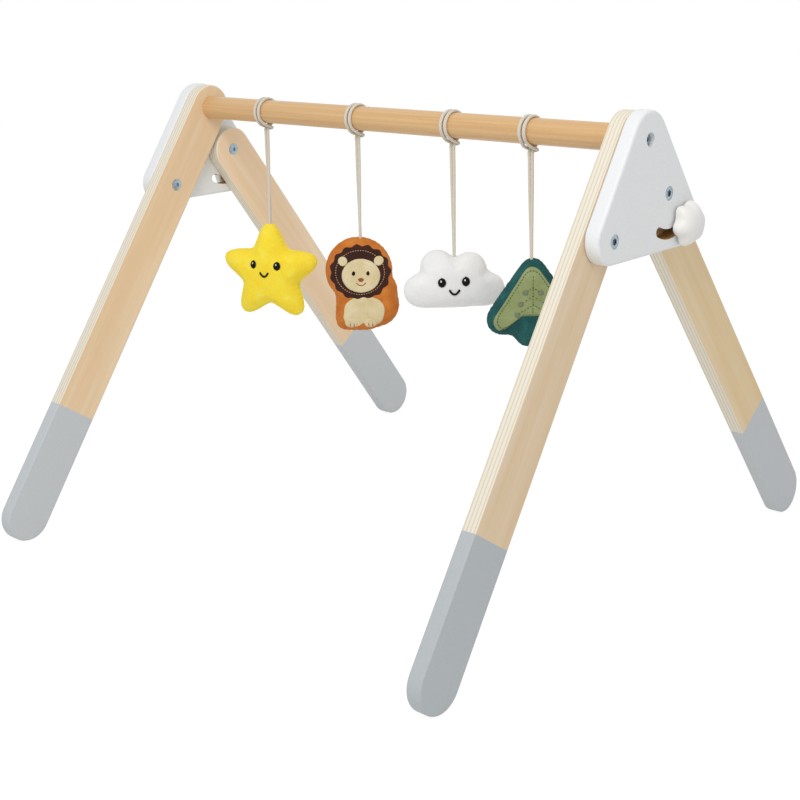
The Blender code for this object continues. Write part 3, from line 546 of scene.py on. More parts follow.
for name, (route, length) in cord_routes.items():
    swing = SWING[name]
    cord = bpy.data.objects.new(f"{name}_cord", braided_tube(f"{name}_cord", route, swing.z))
    bpy.context.scene.collection.objects.link(cord)
    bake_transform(cord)
    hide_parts(f"{name}_hitch", f"{name}_strand_a", f"{name}_strand_b")
    print(cord.name, len(cord.data.polygons), "faces")

# %% [markdown]
# The legs are birch plywood with a clear matt lacquer. On a face, birch is pale and quiet, with
# long faint grain over a broader figure. On an edge, the layers show: pale ones cut along the
# grain, and tan ones cut across it. The feet are dipped in grey paint up to a straight line. One
# solid pattern gives all of this: it is set in the leg's own frame, where x runs through the
# board and z runs up the leg.

# %% Birch plywood finish
LEG_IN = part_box("right_front_leg")[0].x
LEG_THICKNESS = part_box("right_front_leg")[1].x - LEG_IN
PLY_COUNT = 9
GRAIN_WIDTH, GRAIN_LENGTH = 2.4 * MM, 110 * MM
FIGURE_WIDTH, FIGURE_LENGTH = 14 * MM, 260 * MM
SPECK_SIZE, STIPPLE_SIZE = 1.6 * MM, 2.2 * MM
PAINT_EDGE = 0.35 * MM
SMOOTH, COLOURS = {"interpolation_type": "SMOOTHSTEP"}, {"data_type": "RGBA"}


def birch_plywood(name, deep, pale, foot_deep, foot_pale, top_y, top_z, lean, paint_from):
    """The finish of a leg that hangs from a place with a lean, painted from a distance down."""
    finish, tree, shader = new_finish(name, roughness=0.55)
    place = add(tree, "ShaderNodeTexCoord").outputs["Object"]
    in_leg = add(
        tree,
        "ShaderNodeMapping",
        {"vector_type": "TEXTURE"},
        {"Vector": place, "Location": (0, top_y, top_z), "Rotation": (lean, 0, 0)},
    )
    axes = add(tree, "ShaderNodeSeparateXYZ", {}, {0: in_leg}).outputs

    # The face's grain and figure, both drawn out along the leg
    noises = []
    for width, length, detail in (
        (GRAIN_WIDTH, GRAIN_LENGTH, 4),
        (FIGURE_WIDTH, FIGURE_LENGTH, 2),
    ):
        scale = (1 / FIGURE_WIDTH, 1 / width, 1 / length)
        drawn = add(tree, "ShaderNodeMapping", {}, {"Vector": in_leg, "Scale": scale})
        pattern = {"Vector": drawn, "Scale": 1, "Detail": detail}
        noises.append(add(tree, "ShaderNodeTexNoise", {}, pattern))
    grain, figure = noises
    figured = add(tree, "ShaderNodeMath", TIMES_PLUS, {0: grain, 1: 0.55, 2: figure})
    share = add(tree, "ShaderNodeMapRange", {}, {0: figured, 1: 0.5, 2: 1.05})
    face = add(tree, "ShaderNodeValToRGB", {}, {0: share}, (deep, pale))

    # The edge's layers, one after the other through the board
    through = add(tree, "ShaderNodeMath", {"operation": "ABSOLUTE"}, {0: axes[0]})
    ply = add(
        tree,
        "ShaderNodeMapRange",
        {"clamp": False},
        {0: through, 1: LEG_IN, 2: LEG_IN + LEG_THICKNESS, 3: 0, 4: (PLY_COUNT - 1) * math.pi},
    )
    layer = add(tree, "ShaderNodeMath", {"operation": "COSINE"}, {0: ply})
    pattern = {"Vector": place, "Scale": 1 / SPECK_SIZE, "Detail": 3}
    speck = add(tree, "ShaderNodeTexNoise", {}, pattern)
    mottled = add(tree, "ShaderNodeMath", TIMES_PLUS, {0: speck, 1: 0.5, 2: layer})
    share = add(tree, "ShaderNodeMapRange", {}, {0: mottled, 1: -0.6, 2: 0.2})
    edge = add(tree, "ShaderNodeValToRGB", {}, {0: share}, ("#DFD1B2", "#EDE7DA"))

    # The surface is a face of the board where it looks along x
    normal = add(tree, "ShaderNodeNewGeometry").outputs["Normal"]
    looks = add(tree, "ShaderNodeSeparateXYZ", {}, {0: normal})
    facing = add(tree, "ShaderNodeMath", {"operation": "ABSOLUTE"}, {0: looks})
    is_face = add(tree, "ShaderNodeMapRange", SMOOTH, {0: facing, 1: 0.75, 2: 0.95})
    wood = add(tree, "ShaderNodeMix", COLOURS, {0: is_face, 6: edge, 7: face})

    # The foot's paint, from a straight line down
    down = add(tree, "ShaderNodeMath", TIMES, {0: axes[2], 1: -1})
    line = {0: down, 1: paint_from - PAINT_EDGE, 2: paint_from + PAINT_EDGE}
    painted = add(tree, "ShaderNodeMapRange", SMOOTH, line)
    pattern = {"Vector": place, "Scale": 1 / STIPPLE_SIZE, "Detail": 4}
    stipple = add(tree, "ShaderNodeTexNoise", {}, pattern)
    paint = add(tree, "ShaderNodeValToRGB", {}, {0: stipple}, (foot_deep, foot_pale))
    colour = add(tree, "ShaderNodeMix", COLOURS, {0: painted, 6: wood.outputs[2], 7: paint})
    relief = add(tree, "ShaderNodeMix", {}, {0: painted, 2: grain, 3: stipple})
    end_finish(tree, shader, colour.outputs[2], relief, 0.12, 0.2 * MM)
    return finish


print(f"{PLY_COUNT} layers in {LEG_THICKNESS / MM:.1f} mm")

# %% [markdown]
# Each leg has a finish of its own, with two wood tones and two paint tones. The wood tones differ
# partly as boards do and partly as painted light and shade: lighter on the left rear leg and darker
# on the right legs. The grey is one paint, and its differences from leg to leg are painted light
# and shade: lighter on the left rear foot and darker on the right front foot. The paint's line lies
# at a foot's height above the leg's lower end.

# %% Tones of the legs
FRONT_LEAN, REAR_LEAN = math.radians(-33.8), math.radians(36.467)
FRONT_LENGTH, REAR_LENGTH, ROUND_END = 537 * MM, 490 * MM, 25 * MM
FRONT_FOOT, REAR_FOOT = 143 * MM, 150 * MM
LEG_PLACES = {
    "front": (BAR_Y, BAR_Z, FRONT_LEAN, FRONT_LENGTH - ROUND_END - FRONT_FOOT),
    "rear": (PIVOT.y, PIVOT.z, REAR_LEAN, REAR_LENGTH - ROUND_END - REAR_FOOT),
}
# Wood tones are partly board to board and partly painted light and shade; paint tones are one grey
# with painted light and shade from leg to leg
LEG_TONES_WITH_PAINTED_LIGHT = {
    "left_front": ("#EACA9F", "#F4DAB7", "#C0C5C8", "#CCD0D2"),
    "left_rear": ("#F4D5AE", "#FEE6C8", "#C8CDD0", "#D4D8DA"),
    "right_front": ("#E3C79F", "#ECD6B8", "#B2B8BC", "#BEC3C6"),
    "right_rear": ("#E6C998", "#EFD8B0", "#C0C5C8", "#CCD0D2"),
}
birch = {
    f"{leg}_leg": birch_plywood(f"birch_plywood_{leg}", *tones, *LEG_PLACES[leg.split("_")[1]])
    for leg, tones in LEG_TONES_WITH_PAINTED_LIGHT.items()
}
print([finish.name for finish in birch.values()])

# %% [markdown]
# The crossbar is a turned beech dowel. Beech is warmer than birch, and short dark flecks, a few
# millimetres long, lie along it. A clear lacquer gives it a soft shine.

# %% Beech finish
BEECH_GRAIN_LENGTH, BEECH_GRAIN_WIDTH = 160 * MM, 2 * MM
FLECK_LENGTH, FLECK_WIDTH = 5 * MM, 0.7 * MM

beech, tree, shader = new_finish(
    "beech_dowel", roughness=0.42, coat_weight=0.4, coat_roughness=0.35
)
place = add(tree, "ShaderNodeTexCoord").outputs["Object"]
noises = []
for length, width, detail in (
    (BEECH_GRAIN_LENGTH, BEECH_GRAIN_WIDTH, 4),
    (FLECK_LENGTH, FLECK_WIDTH, 1),
):
    scale = (1 / length, 1 / width, 1 / width)
    drawn = add(tree, "ShaderNodeMapping", {}, {"Vector": place, "Scale": scale})
    pattern = {"Vector": drawn, "Scale": 1, "Detail": detail}
    noises.append(add(tree, "ShaderNodeTexNoise", {}, pattern))
grain, flecks = noises
share = add(tree, "ShaderNodeMapRange", {}, {0: grain, 1: 0.3, 2: 0.7})
tone = add(tree, "ShaderNodeValToRGB", {}, {0: share}, ("#D1A46B", "#DEB680"))
fleck = add(tree, "ShaderNodeMapRange", {}, {0: flecks, 1: 0.64, 2: 0.76, 4: 0.45})
colour = add(tree, "ShaderNodeMix", COLOURS, {0: fleck, 6: tone, 7: linear("#BE8B54")})
end_finish(tree, shader, colour.outputs[2], grain, 0.1, 0.2 * MM)
print(beech.name)

# %% [markdown]
# The side plates are boards with white satin paint, rolled on, which leaves a faint orange peel.
# Inside their slots the walls are a darker, rough brown. The screws and washers are zinc-plated
# steel, bright and a little clouded, with a blue tinge. The knobs are moulded white nylon with a
# fine matt skin. All four are two close tones with a fine relief, so one function makes them.


# %% White paint, zinc, nylon and the slots' darker brown
def mottled_finish(name, dark, pale, grit, depth, strength, **constants):
    """A finish with two close tones and a fine relief of one grit, in metres."""
    finish, tree, shader = new_finish(name, **constants)
    place = add(tree, "ShaderNodeTexCoord").outputs["Object"]
    pattern = {"Vector": place, "Scale": 1 / grit, "Detail": 3}
    mottle = add(tree, "ShaderNodeTexNoise", {}, pattern)
    share = add(tree, "ShaderNodeMapRange", {}, {0: mottle, 1: 0.3, 2: 0.7})
    tone = add(tree, "ShaderNodeValToRGB", {}, {0: share}, (dark, pale))
    end_finish(tree, shader, tone.outputs[0], mottle, strength, depth)
    return finish


white_paint = mottled_finish(
    "white_satin_paint", "#EBEDEE", "#F0F1F2", 2.4 * MM, 0.1 * MM, 0.12, roughness=0.45
)
zinc = mottled_finish(
    "zinc_plated_steel", "#8AA0AD", "#B4C2CA", 1.8 * MM, 0.05 * MM, 0.1, roughness=0.3, metallic=1.0
)
nylon = mottled_finish(
    "moulded_nylon", "#EDECE7", "#F1F0EC", 0.8 * MM, 0.04 * MM, 0.1, roughness=0.42
)
# The slot walls get a darker, rough brown, darker than the lacquered birch of the legs
slot_wall_brown = mottled_finish(
    "slot_wall_brown", "#B98F55", "#CDA76C", 3 * MM, 0.1 * MM, 0.2, roughness=0.7
)
print(white_paint.name, zinc.name, nylon.name, slot_wall_brown.name)

# %% [markdown]
# The boards and the bar already have their true shapes in the CAD model, but as flat triangles. A
# merged copy of each, shaded smooth with its flat faces in the lead, shows round ends as round.

# %% Boards, bar and small steel
SHARP_FROM = math.radians(50)
MERGED_WITHIN = 0.01 * MM
SLOT_RADIUS = math.hypot(KNOB.y - PIVOT.y, KNOB.z - PIVOT.z)
SLOT_HALF_WIDTH = 7 * MM
WALL_LEAN = 0.2


def in_slot(face):
    """Whether a face of a side plate is a wall of its arc slot, which gets the darker brown."""
    middle = face.calc_center_median()
    reach = math.hypot(middle.y - PIVOT.y, middle.z - PIVOT.z)
    low = middle.z < PIVOT.z and middle.z > KNOB.z - 2 * SLOT_HALF_WIDTH
    wall = abs(face.normal.x) < WALL_LEAN
    return low and wall and abs(reach - SLOT_RADIUS) < SLOT_HALF_WIDTH


def dressed(node, finish, slot_coat=None):
    """A smooth-shaded copy of a CAD solid, which stands for it."""
    mesh = frame["nodes"][node].data.copy()
    mesh.name = f"{node}_board"
    if "custom_normal" in mesh.attributes:
        mesh.attributes.remove(mesh.attributes["custom_normal"])
    shape = bmesh.new()
    shape.from_mesh(mesh)
    bmesh.ops.remove_doubles(shape, verts=shape.verts, dist=MERGED_WITHIN)
    for face in shape.faces:
        face.material_index = 1 if slot_coat and in_slot(face) else 0
    mesh.materials.clear()
    for coat in (finish, slot_coat) if slot_coat else (finish,):
        mesh.materials.append(coat)
    shape.to_mesh(mesh)
    shape.free()
    mesh.shade_smooth()
    mesh.set_sharp_from_angle(angle=SHARP_FROM)
    piece = new_piece(f"{node}_dressed", mesh, frame["nodes"][node]["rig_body"], [node])
    lead = piece.modifiers.new("flat_faces_lead", "WEIGHTED_NORMAL")
    lead.keep_sharp = True


dressed("crossbar", beech)
for leg, finish in birch.items():
    dressed(leg, finish)
for end, side in ENDS:
    dressed(f"{end}_side_plate", white_paint, slot_wall_brown)
    for small in ("clamp_washer", "knob_stud", "bar_insert", "leg_insert"):
        dressed(f"{end}_{small}", zinc)
print("boards, bar and small steel dressed")

# %% [markdown]
# What repeats or follows a rule is made by Geometry Nodes. Each tree starts with named inputs for
# its sizes, and it ends by making its instances real and giving them a material, because only
# plain meshes are kept. A small seed mesh carries the tree, and a plain copy of the result is the
# piece.


# %% Helpers for geometry trees
def new_tree(name, sizes):
    """A geometry tree with named sizes as its inputs, then a material, and the inputs' sockets."""
    tree = bpy.data.node_groups.new(name, "GeometryNodeTree")
    face = tree.interface
    face.new_socket(name="Geometry", in_out="INPUT", socket_type="NodeSocketGeometry")
    face.new_socket(name="Geometry", in_out="OUTPUT", socket_type="NodeSocketGeometry")
    for label, value in sizes.items():
        kind = "NodeSocketInt" if isinstance(value, int) else "NodeSocketFloat"
        face.new_socket(name=label, in_out="INPUT", socket_type=kind).default_value = value
    face.new_socket(name="Material", in_out="INPUT", socket_type="NodeSocketMaterial")
    return tree, add(tree, "NodeGroupInput").outputs


def end_tree(tree, given, geometry):
    """Ends a tree: its instances are made real and get the material that the tree is given."""
    real = add(tree, "GeometryNodeRealizeInstances", {}, {0: geometry})
    coat = {"Geometry": real, "Material": given["Material"]}
    coated = add(tree, "GeometryNodeSetMaterial", {}, coat)
    add(tree, "NodeGroupOutput", {}, {0: coated})
    print(tree.name, len(tree.nodes), "nodes")


def evaluated_mesh(holder):
    """A plain mesh of an object as its modifiers leave it."""
    evaluated = holder.evaluated_get(bpy.context.evaluated_depsgraph_get())
    return bpy.data.meshes.new_from_object(evaluated)


def grown(name, tree, seed, values):
    """The plain mesh that a tree grows from a seed mesh, with values by the inputs' names."""
    holder = bpy.data.objects.new(name, seed)
    bpy.context.scene.collection.objects.link(holder)
    modifier = holder.modifiers.new("tree", "NODES")
    modifier.node_group = tree
    for item in tree.interface.items_tree:
        if item.in_out == "INPUT" and item.name in values:
            modifier[item.identifier] = values[item.name]
    mesh = evaluated_mesh(holder)
    mesh.name = name
    bpy.data.objects.remove(holder)
    return mesh


print("helpers for geometry trees ready")

# %% [markdown]
# A screw's head starts as a cylinder. Its top sinks further the further it stands from the axis,
# which gives a dome, and a hexagon is then cut into the dome for the key.

# %% Head of a screw
DOME_POWER = 2.6
DIVIDED, PLUS = {"operation": "DIVIDE"}, {"operation": "ADD"}

screw_tree, given = new_tree(
    "socket_screw",
    {
        "Head Diameter": 12.5 * MM,
        "Head Height": 3.2 * MM,
        "Dome": 1.1 * MM,
        "Socket Width": 4 * MM,
        "Socket Depth": 2 * MM,
        "Shank From": 2.6 * MM,
        "Shank Diameter": 6 * MM,
    },
)
head_radius = add(screw_tree, "ShaderNodeMath", TIMES, {0: given["Head Diameter"], 1: 0.5})
blank = add(
    screw_tree,
    "GeometryNodeMeshCylinder",
    {},
    {
        "Vertices": 48,
        "Side Segments": 3,
        "Fill Segments": 6,
        "Radius": head_radius,
        "Depth": given["Head Height"],
    },
)
place = add(screw_tree, "GeometryNodeInputPosition")
spot = add(screw_tree, "ShaderNodeSeparateXYZ", {}, {0: place}).outputs
flat = add(screw_tree, "ShaderNodeCombineXYZ", {}, {0: spot[0], 1: spot[1]})
spread = add(screw_tree, "ShaderNodeVectorMath", {"operation": "LENGTH"}, {0: flat})
share = add(screw_tree, "ShaderNodeMath", DIVIDED, {0: spread.outputs["Value"], 1: head_radius})
fall = add(screw_tree, "ShaderNodeMath", {"operation": "POWER"}, {0: share, 1: DOME_POWER})
drop_by = add(screw_tree, "ShaderNodeMath", TIMES, {0: fall, 1: given["Dome"]})
rise_share = add(screw_tree, "ShaderNodeMath", DIVIDED, {0: spot[2], 1: given["Head Height"]})
upper = add(screw_tree, "ShaderNodeMath", PLUS, {0: rise_share, 1: 0.5})
sink = add(screw_tree, "ShaderNodeMath", TIMES, {0: drop_by, 1: upper})
lower = add(screw_tree, "ShaderNodeMath", TIMES, {0: sink, 1: -1})
head_half = add(screw_tree, "ShaderNodeMath", TIMES, {0: given["Head Height"], 1: -0.5})
settled = add(screw_tree, "ShaderNodeMath", PLUS, {0: lower, 1: head_half})
offset = add(screw_tree, "ShaderNodeCombineXYZ", {}, {2: settled})
domed = add(screw_tree, "GeometryNodeSetPosition", {}, {"Geometry": blank, "Offset": offset})
corner = add(screw_tree, "ShaderNodeMath", DIVIDED, {0: given["Socket Width"], 1: math.sqrt(3)})
depth = add(screw_tree, "ShaderNodeMath", TIMES, {0: given["Socket Depth"], 1: 2})
hexagon = add(
    screw_tree,
    "GeometryNodeMeshCylinder",
    {},
    {"Vertices": 6, "Radius": corner, "Depth": depth},
)
head = add(
    screw_tree,
    "GeometryNodeMeshBoolean",
    {"operation": "DIFFERENCE", "solver": "EXACT"},
    {"Mesh 1": domed, "Mesh 2": hexagon},
)
print("head of", len(screw_tree.nodes), "nodes")

# %% [markdown]
# The shank is a cylinder of unit length that hangs under the head. A copy of both is set at each
# point of a small mesh, whose points carry two attributes: the way that the head faces, and how
# long the screw is.

# %% Shank and places of the screws
LESS = {"operation": "SUBTRACT"}

facing = add(
    screw_tree, "GeometryNodeInputNamedAttribute", {"data_type": "FLOAT_VECTOR"}, {"Name": "facing"}
)
turned = add(screw_tree, "FunctionNodeAlignRotationToVector", {"axis": "Z"}, {"Vector": facing})
heads = add(
    screw_tree,
    "GeometryNodeInstanceOnPoints",
    {},
    {"Points": given["Geometry"], "Instance": head, "Rotation": turned},
)
shank_radius = add(screw_tree, "ShaderNodeMath", TIMES, {0: given["Shank Diameter"], 1: 0.5})
shank = add(
    screw_tree,
    "GeometryNodeMeshCylinder",
    {},
    {"Vertices": 24, "Radius": shank_radius, "Depth": 1.0},
)
hung = add(
    screw_tree, "GeometryNodeTransform", {}, {"Geometry": shank, "Translation": (0, 0, -0.5)}
)
reach_down = add(
    screw_tree, "GeometryNodeInputNamedAttribute", {"data_type": "FLOAT"}, {"Name": "reach_down"}
)
shank_length = add(screw_tree, "ShaderNodeMath", LESS, {0: reach_down, 1: given["Shank From"]})
shank_drop = add(screw_tree, "ShaderNodeMath", TIMES, {0: given["Shank From"], 1: -1})
shank_spot = add(
    screw_tree, "ShaderNodeVectorMath", {"operation": "SCALE"}, {0: facing, "Scale": shank_drop}
)
under_head = add(
    screw_tree, "GeometryNodeSetPosition", {}, {"Geometry": given["Geometry"], "Offset": shank_spot}
)
shank_size = add(screw_tree, "ShaderNodeCombineXYZ", {}, {0: 1, 1: 1, 2: shank_length})
shanks = add(
    screw_tree,
    "GeometryNodeInstanceOnPoints",
    {},
    {"Points": under_head, "Instance": hung, "Rotation": turned, "Scale": shank_size},
)
both = add(screw_tree, "GeometryNodeJoinGeometry")
for part in (heads, shanks):
    screw_tree.links.new(part.outputs[0], both.inputs[0])
end_tree(screw_tree, given, both)

# %% [markdown]
# The bar bolts sit deep in the plates and face outwards. The leg and pivot bolts face inwards,
# and their flanged sleeve nuts face outwards, nearly flush. Each point stands on the top of the
# CAD model's screw, and its length is that screw's own.

# %% Screws
# Each kind of screw, and whether its head faces out of the gym or into it
BOLTS = (("bar_bolt", 1), ("leg_bolt", -1), ("pivot_bolt", -1))
SLEEVE_NUTS = (("leg_sleeve_nut", 1), ("pivot_sleeve_nut", 1))
NUT_SIZES = {
    "Head Height": 1.8 * MM,
    "Dome": 0.45 * MM,
    "Socket Width": 5.6 * MM,
    "Socket Depth": 4 * MM,
    "Shank From": 5 * MM,
    "Shank Diameter": 8.4 * MM,
}
SCREW_SHARP_FROM = math.radians(35)


def screw_set(name, kinds, sizes):
    """One mesh of screws on the frame, from the CAD screws that it stands for."""
    seed = bpy.data.meshes.new(f"{name}_points")
    tops, ways, reaches, nodes = [], [], [], []
    for kind, outward in kinds:
        for end, side in ENDS:
            low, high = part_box(f"{end}_{kind}")
            way = side * outward
            middle = (low + high) / 2
            tops.append((high.x if way > 0 else low.x, middle.y, middle.z))
            ways += (way, 0, 0)
            reaches.append(high.x - low.x)
            nodes.append(f"{end}_{kind}")
    seed.from_pydata(tops, [], [])
    seed.attributes.new("facing", "FLOAT_VECTOR", "POINT").data.foreach_set("vector", ways)
    seed.attributes.new("reach_down", "FLOAT", "POINT").data.foreach_set("value", reaches)
    mesh = grown(name, screw_tree, seed, {**sizes, "Material": zinc})
    mesh.shade_smooth()
    mesh.set_sharp_from_angle(angle=SCREW_SHARP_FROM)
    new_piece(name, mesh, "frame", nodes)
    print(name, len(mesh.polygons), "faces")


screw_set("bolts", BOLTS, {})
screw_set("sleeve_nuts", SLEEVE_NUTS, NUT_SIZES)

# %% [markdown]
# The clamp knob is a shape with a rule: a domed profile turned about its axis, whose radius dips
# between six lobes. A grid bent round by Geometry Nodes follows that rule exactly, with curves
# for the profile and for how the lobes fade towards the crown.

# %% A tree for the knob
# Along the profile from the base to the crown: the shares of the width, the height and the lobes
KNOB_PROFILE = (
    (0.0, 0.0, 0.0, 0.0),
    (0.12, 0.6, 0.0, 0.7),
    (0.2, 0.9, 0.0, 1.0),
    (0.25, 0.97, 0.05, 1.0),
    (0.34, 1.0, 0.2, 1.0),
    (0.48, 0.94, 0.44, 0.8),
    (0.6, 0.82, 0.65, 0.5),
    (0.73, 0.63, 0.83, 0.25),
    (0.86, 0.36, 0.95, 0.08),
    (1.0, 0.0, 1.0, 0.0),
)

knob_tree, given = new_tree(
    "lobed_knob",
    {
        "Radius": 20.8 * MM,
        "Height": 16.5 * MM,
        "Lobe Depth": 3.8 * MM,
        "Lobes": 6.0,
        "Turn": math.radians(11),
    },
)
sheet = add(
    knob_tree,
    "GeometryNodeMeshGrid",
    {},
    {"Size X": 1, "Size Y": 1, "Vertices X": 121, "Vertices Y": 41},
)
place = add(knob_tree, "GeometryNodeInputPosition")
spot = add(knob_tree, "ShaderNodeSeparateXYZ", {}, {0: place}).outputs
around = add(knob_tree, "ShaderNodeMath", TIMES, {0: spot[0], 1: 2 * math.pi})
along = add(knob_tree, "ShaderNodeMath", PLUS, {0: spot[1], 1: 0.5})
curves = []
for column in (1, 2, 3):
    curve = add(knob_tree, "ShaderNodeFloatCurve", {}, {"Value": along})
    points = curve.mapping.curves[0].points
    points[0].location = (KNOB_PROFILE[0][0], KNOB_PROFILE[0][column])
    points[1].location = (KNOB_PROFILE[-1][0], KNOB_PROFILE[-1][column])
    for stop in KNOB_PROFILE[1:-1]:
        points.new(stop[0], stop[column])
    for point in points:
        point.handle_type = "AUTO_CLAMPED"
    curve.mapping.update()
    curves.append(curve)
lobe_turn = add(knob_tree, "ShaderNodeMath", TIMES, {0: around, 1: given["Lobes"]})
wave = add(knob_tree, "ShaderNodeMath", {"operation": "COSINE"}, {0: lobe_turn})
dip = add(knob_tree, "ShaderNodeMapRange", {}, {0: wave, 1: 1, 2: -1, 3: 0, 4: 1})
faded = add(knob_tree, "ShaderNodeMath", TIMES, {0: dip, 1: curves[2]})
depth = add(knob_tree, "ShaderNodeMath", TIMES, {0: faded, 1: given["Lobe Depth"]})
full = add(knob_tree, "ShaderNodeMath", LESS, {0: given["Radius"], 1: depth})
reach = add(knob_tree, "ShaderNodeMath", TIMES, {0: full, 1: curves[0]})
heading = add(knob_tree, "ShaderNodeMath", PLUS, {0: around, 1: given["Turn"]})
axes = []
for operation in ("COSINE", "SINE"):
    trig = add(knob_tree, "ShaderNodeMath", {"operation": operation}, {0: heading})
    axes.append(add(knob_tree, "ShaderNodeMath", TIMES, {0: trig, 1: reach}))
axes.append(add(knob_tree, "ShaderNodeMath", TIMES, {0: curves[1], 1: given["Height"]}))
place = add(knob_tree, "ShaderNodeCombineXYZ", {}, dict(enumerate(axes)))
bent = add(knob_tree, "GeometryNodeSetPosition", {}, {"Geometry": sheet, "Position": place})
closed = add(
    knob_tree, "GeometryNodeMergeByDistance", {}, {"Geometry": bent, "Distance": 0.005 * MM}
)
end_tree(knob_tree, given, closed)

# %% [markdown]
# A knob stands on each clamp's axis with its crown pointing out of the gym. The bent grid is
# turned to stand there, its faces are set outwards, and each end's knob is a piece of its own,
# because each one turns by itself.


# %% Clamp knobs
def set_outwards(mesh):
    """Turns a closed mesh's faces outwards."""
    shape = bmesh.new()
    shape.from_mesh(mesh)
    bmesh.ops.recalc_face_normals(shape, faces=shape.faces)
    shape.to_mesh(mesh)
    shape.free()


for end, side in ENDS:
    seed = bpy.data.meshes.new(f"{end}_knob_seed")
    knob_mesh = grown(f"{end}_knob", knob_tree, seed, {"Material": nylon})
    stand = Matrix.Translation((side * KNOB.x, KNOB.y, KNOB.z))
    knob_mesh.transform(stand @ Euler((math.pi / 2, 0, side * math.pi / 2)).to_matrix().to_4x4())
    set_outwards(knob_mesh)
    knob_mesh.shade_smooth()
    new_piece(f"{end}_knob", knob_mesh, f"{end}_knob_turn", [f"{end}_clamp_knob"])
    print(end, "knob", len(knob_mesh.polygons), "faces")

# %% [markdown]
# Plush is a knitted cloth with a short cut pile. It has no gloss, but the pile's tips catch light
# at the rim, which sheen gives, and stroking leaves paler and deeper patches. Real fibres are far
# below a pixel, so tufts are drawn about 1 mm wide. Embroidery thread is twisted from smooth
# fibres: it is mottled at half a millimetre, and a little glossier than the plush.

# %% Plush, velvet and thread finishes
TUFT, NAP_PATCH = 1.1 * MM, 13 * MM
THREAD_GRIT, THREAD_DEPTH = 0.5 * MM, 0.1 * MM


def plush(name, deep, main, pale, relief=0.35, sheen=0.45):
    """A cut pile in three tones, with the depth of its tufts and the sheen of their tips."""
    finish, tree, shader = new_finish(
        name, roughness=0.95, sheen_weight=sheen, sheen_roughness=0.35, sheen_tint=linear(pale)
    )
    place = add(tree, "ShaderNodeTexCoord").outputs["Object"]
    noises = []
    for size, detail in ((TUFT, 4), (NAP_PATCH, 2)):
        pattern = {"Vector": place, "Scale": 1 / size, "Detail": detail}
        noises.append(add(tree, "ShaderNodeTexNoise", {}, pattern))
    tufts, nap = noises
    mixed = add(tree, "ShaderNodeMath", TIMES_PLUS, {0: tufts, 1: 0.9, 2: nap})
    share = add(tree, "ShaderNodeMapRange", {}, {0: mixed, 1: 0.5, 2: 1.4})
    tone = add(tree, "ShaderNodeValToRGB", {}, {0: share}, (deep, main, pale))
    end_finish(tree, shader, tone.outputs[0], tufts, relief, 0.5 * MM)
    return finish


yellow_plush = plush("yellow_plush", "#FCD829", "#FFE539", "#FFF562", 0.25)
orange_plush = plush("orange_plush", "#B4611C", "#CA7427", "#E0923F")
white_plush = plush("white_plush", "#ECECEC", "#F1F1F1", "#F6F6F6", 0.25)
teal_plush = plush("teal_plush", "#0A3B3D", "#12504F", "#2B6F6B", 0.35, 0.22)
brown_velvet = plush("brown_velvet", "#240C07", "#38150C", "#522518", 0.25, 0.06)
cream_velvet = plush("cream_velvet", "#D3BD8A", "#E1D0A4", "#EDE0BE", 0.25)
green_velvet = plush("green_velvet", "#7D8A5A", "#8F9B68", "#A3AE7F", 0.25, 0.3)
THREAD_TONES = {
    "black": ("#060505", "#12100F"),
    "white": ("#ECEAE4", "#FBFAF6"),
    "tan": ("#C9AE78", "#E0CB9B"),
    "green": ("#3E5230", "#566A3A"),
    "sage": ("#66755C", "#7F8D73"),
    "rust": ("#8A4416", "#A9591F"),
}
threads = {}
for colour, tones in THREAD_TONES.items():
    gloss = {"roughness": 0.6}
    if colour == "black":
        gloss = {"roughness": 0.75, "specular_ior_level": 0.2}
    threads[colour] = mottled_finish(
        f"{colour}_thread", *tones, THREAD_GRIT, THREAD_DEPTH, 0.3, **gloss
    )
print("plush, velvet and", len(threads), "threads")

# %% [markdown]
# A toy starts as two dished panels that meet in a rim, thinner than it will be and with a little
# spare cloth round the rim. Stuffing rounds a toy off inside its outline, so the rings lose the
# outline's notches towards the middle. The shell is made ten times as large, where the cloth's
# solver is steady.

# %% Shells of the toys
SIM_SCALE = 10
RIM_SPARE, THINNED = 2.1 * MM, 2 * MM
SOFTENED_OVER, SOFTENING = 30, 1.5
SHELL_RINGS = (0.15, 0.3, 0.45, 0.6, 0.73, 0.84, 0.92, 0.97)
RING_DEGREES = range(0, 360, 3)


def skinned(name, rows, poles):
    """A closed mesh over rings of points, with a pole in the first ring and one in the last."""
    shape = bmesh.new()
    rings = [[shape.verts.new(point) for point in row] for row in rows]
    count = len(rings[0])
    for low, high in zip(rings, rings[1:]):
        for i in range(count):
            j = (i + 1) % count
            shape.faces.new((low[i], low[j], high[j], high[i]))
    for ring, place in zip((rings[0], rings[-1]), poles):
        pole = shape.verts.new(place)
        for i in range(count):
            shape.faces.new((ring[i], ring[(i + 1) % count], pole))
    bmesh.ops.recalc_face_normals(shape, faces=shape.faces)
    mesh = bpy.data.meshes.new(name)
    shape.to_mesh(mesh)
    shape.free()
    return mesh


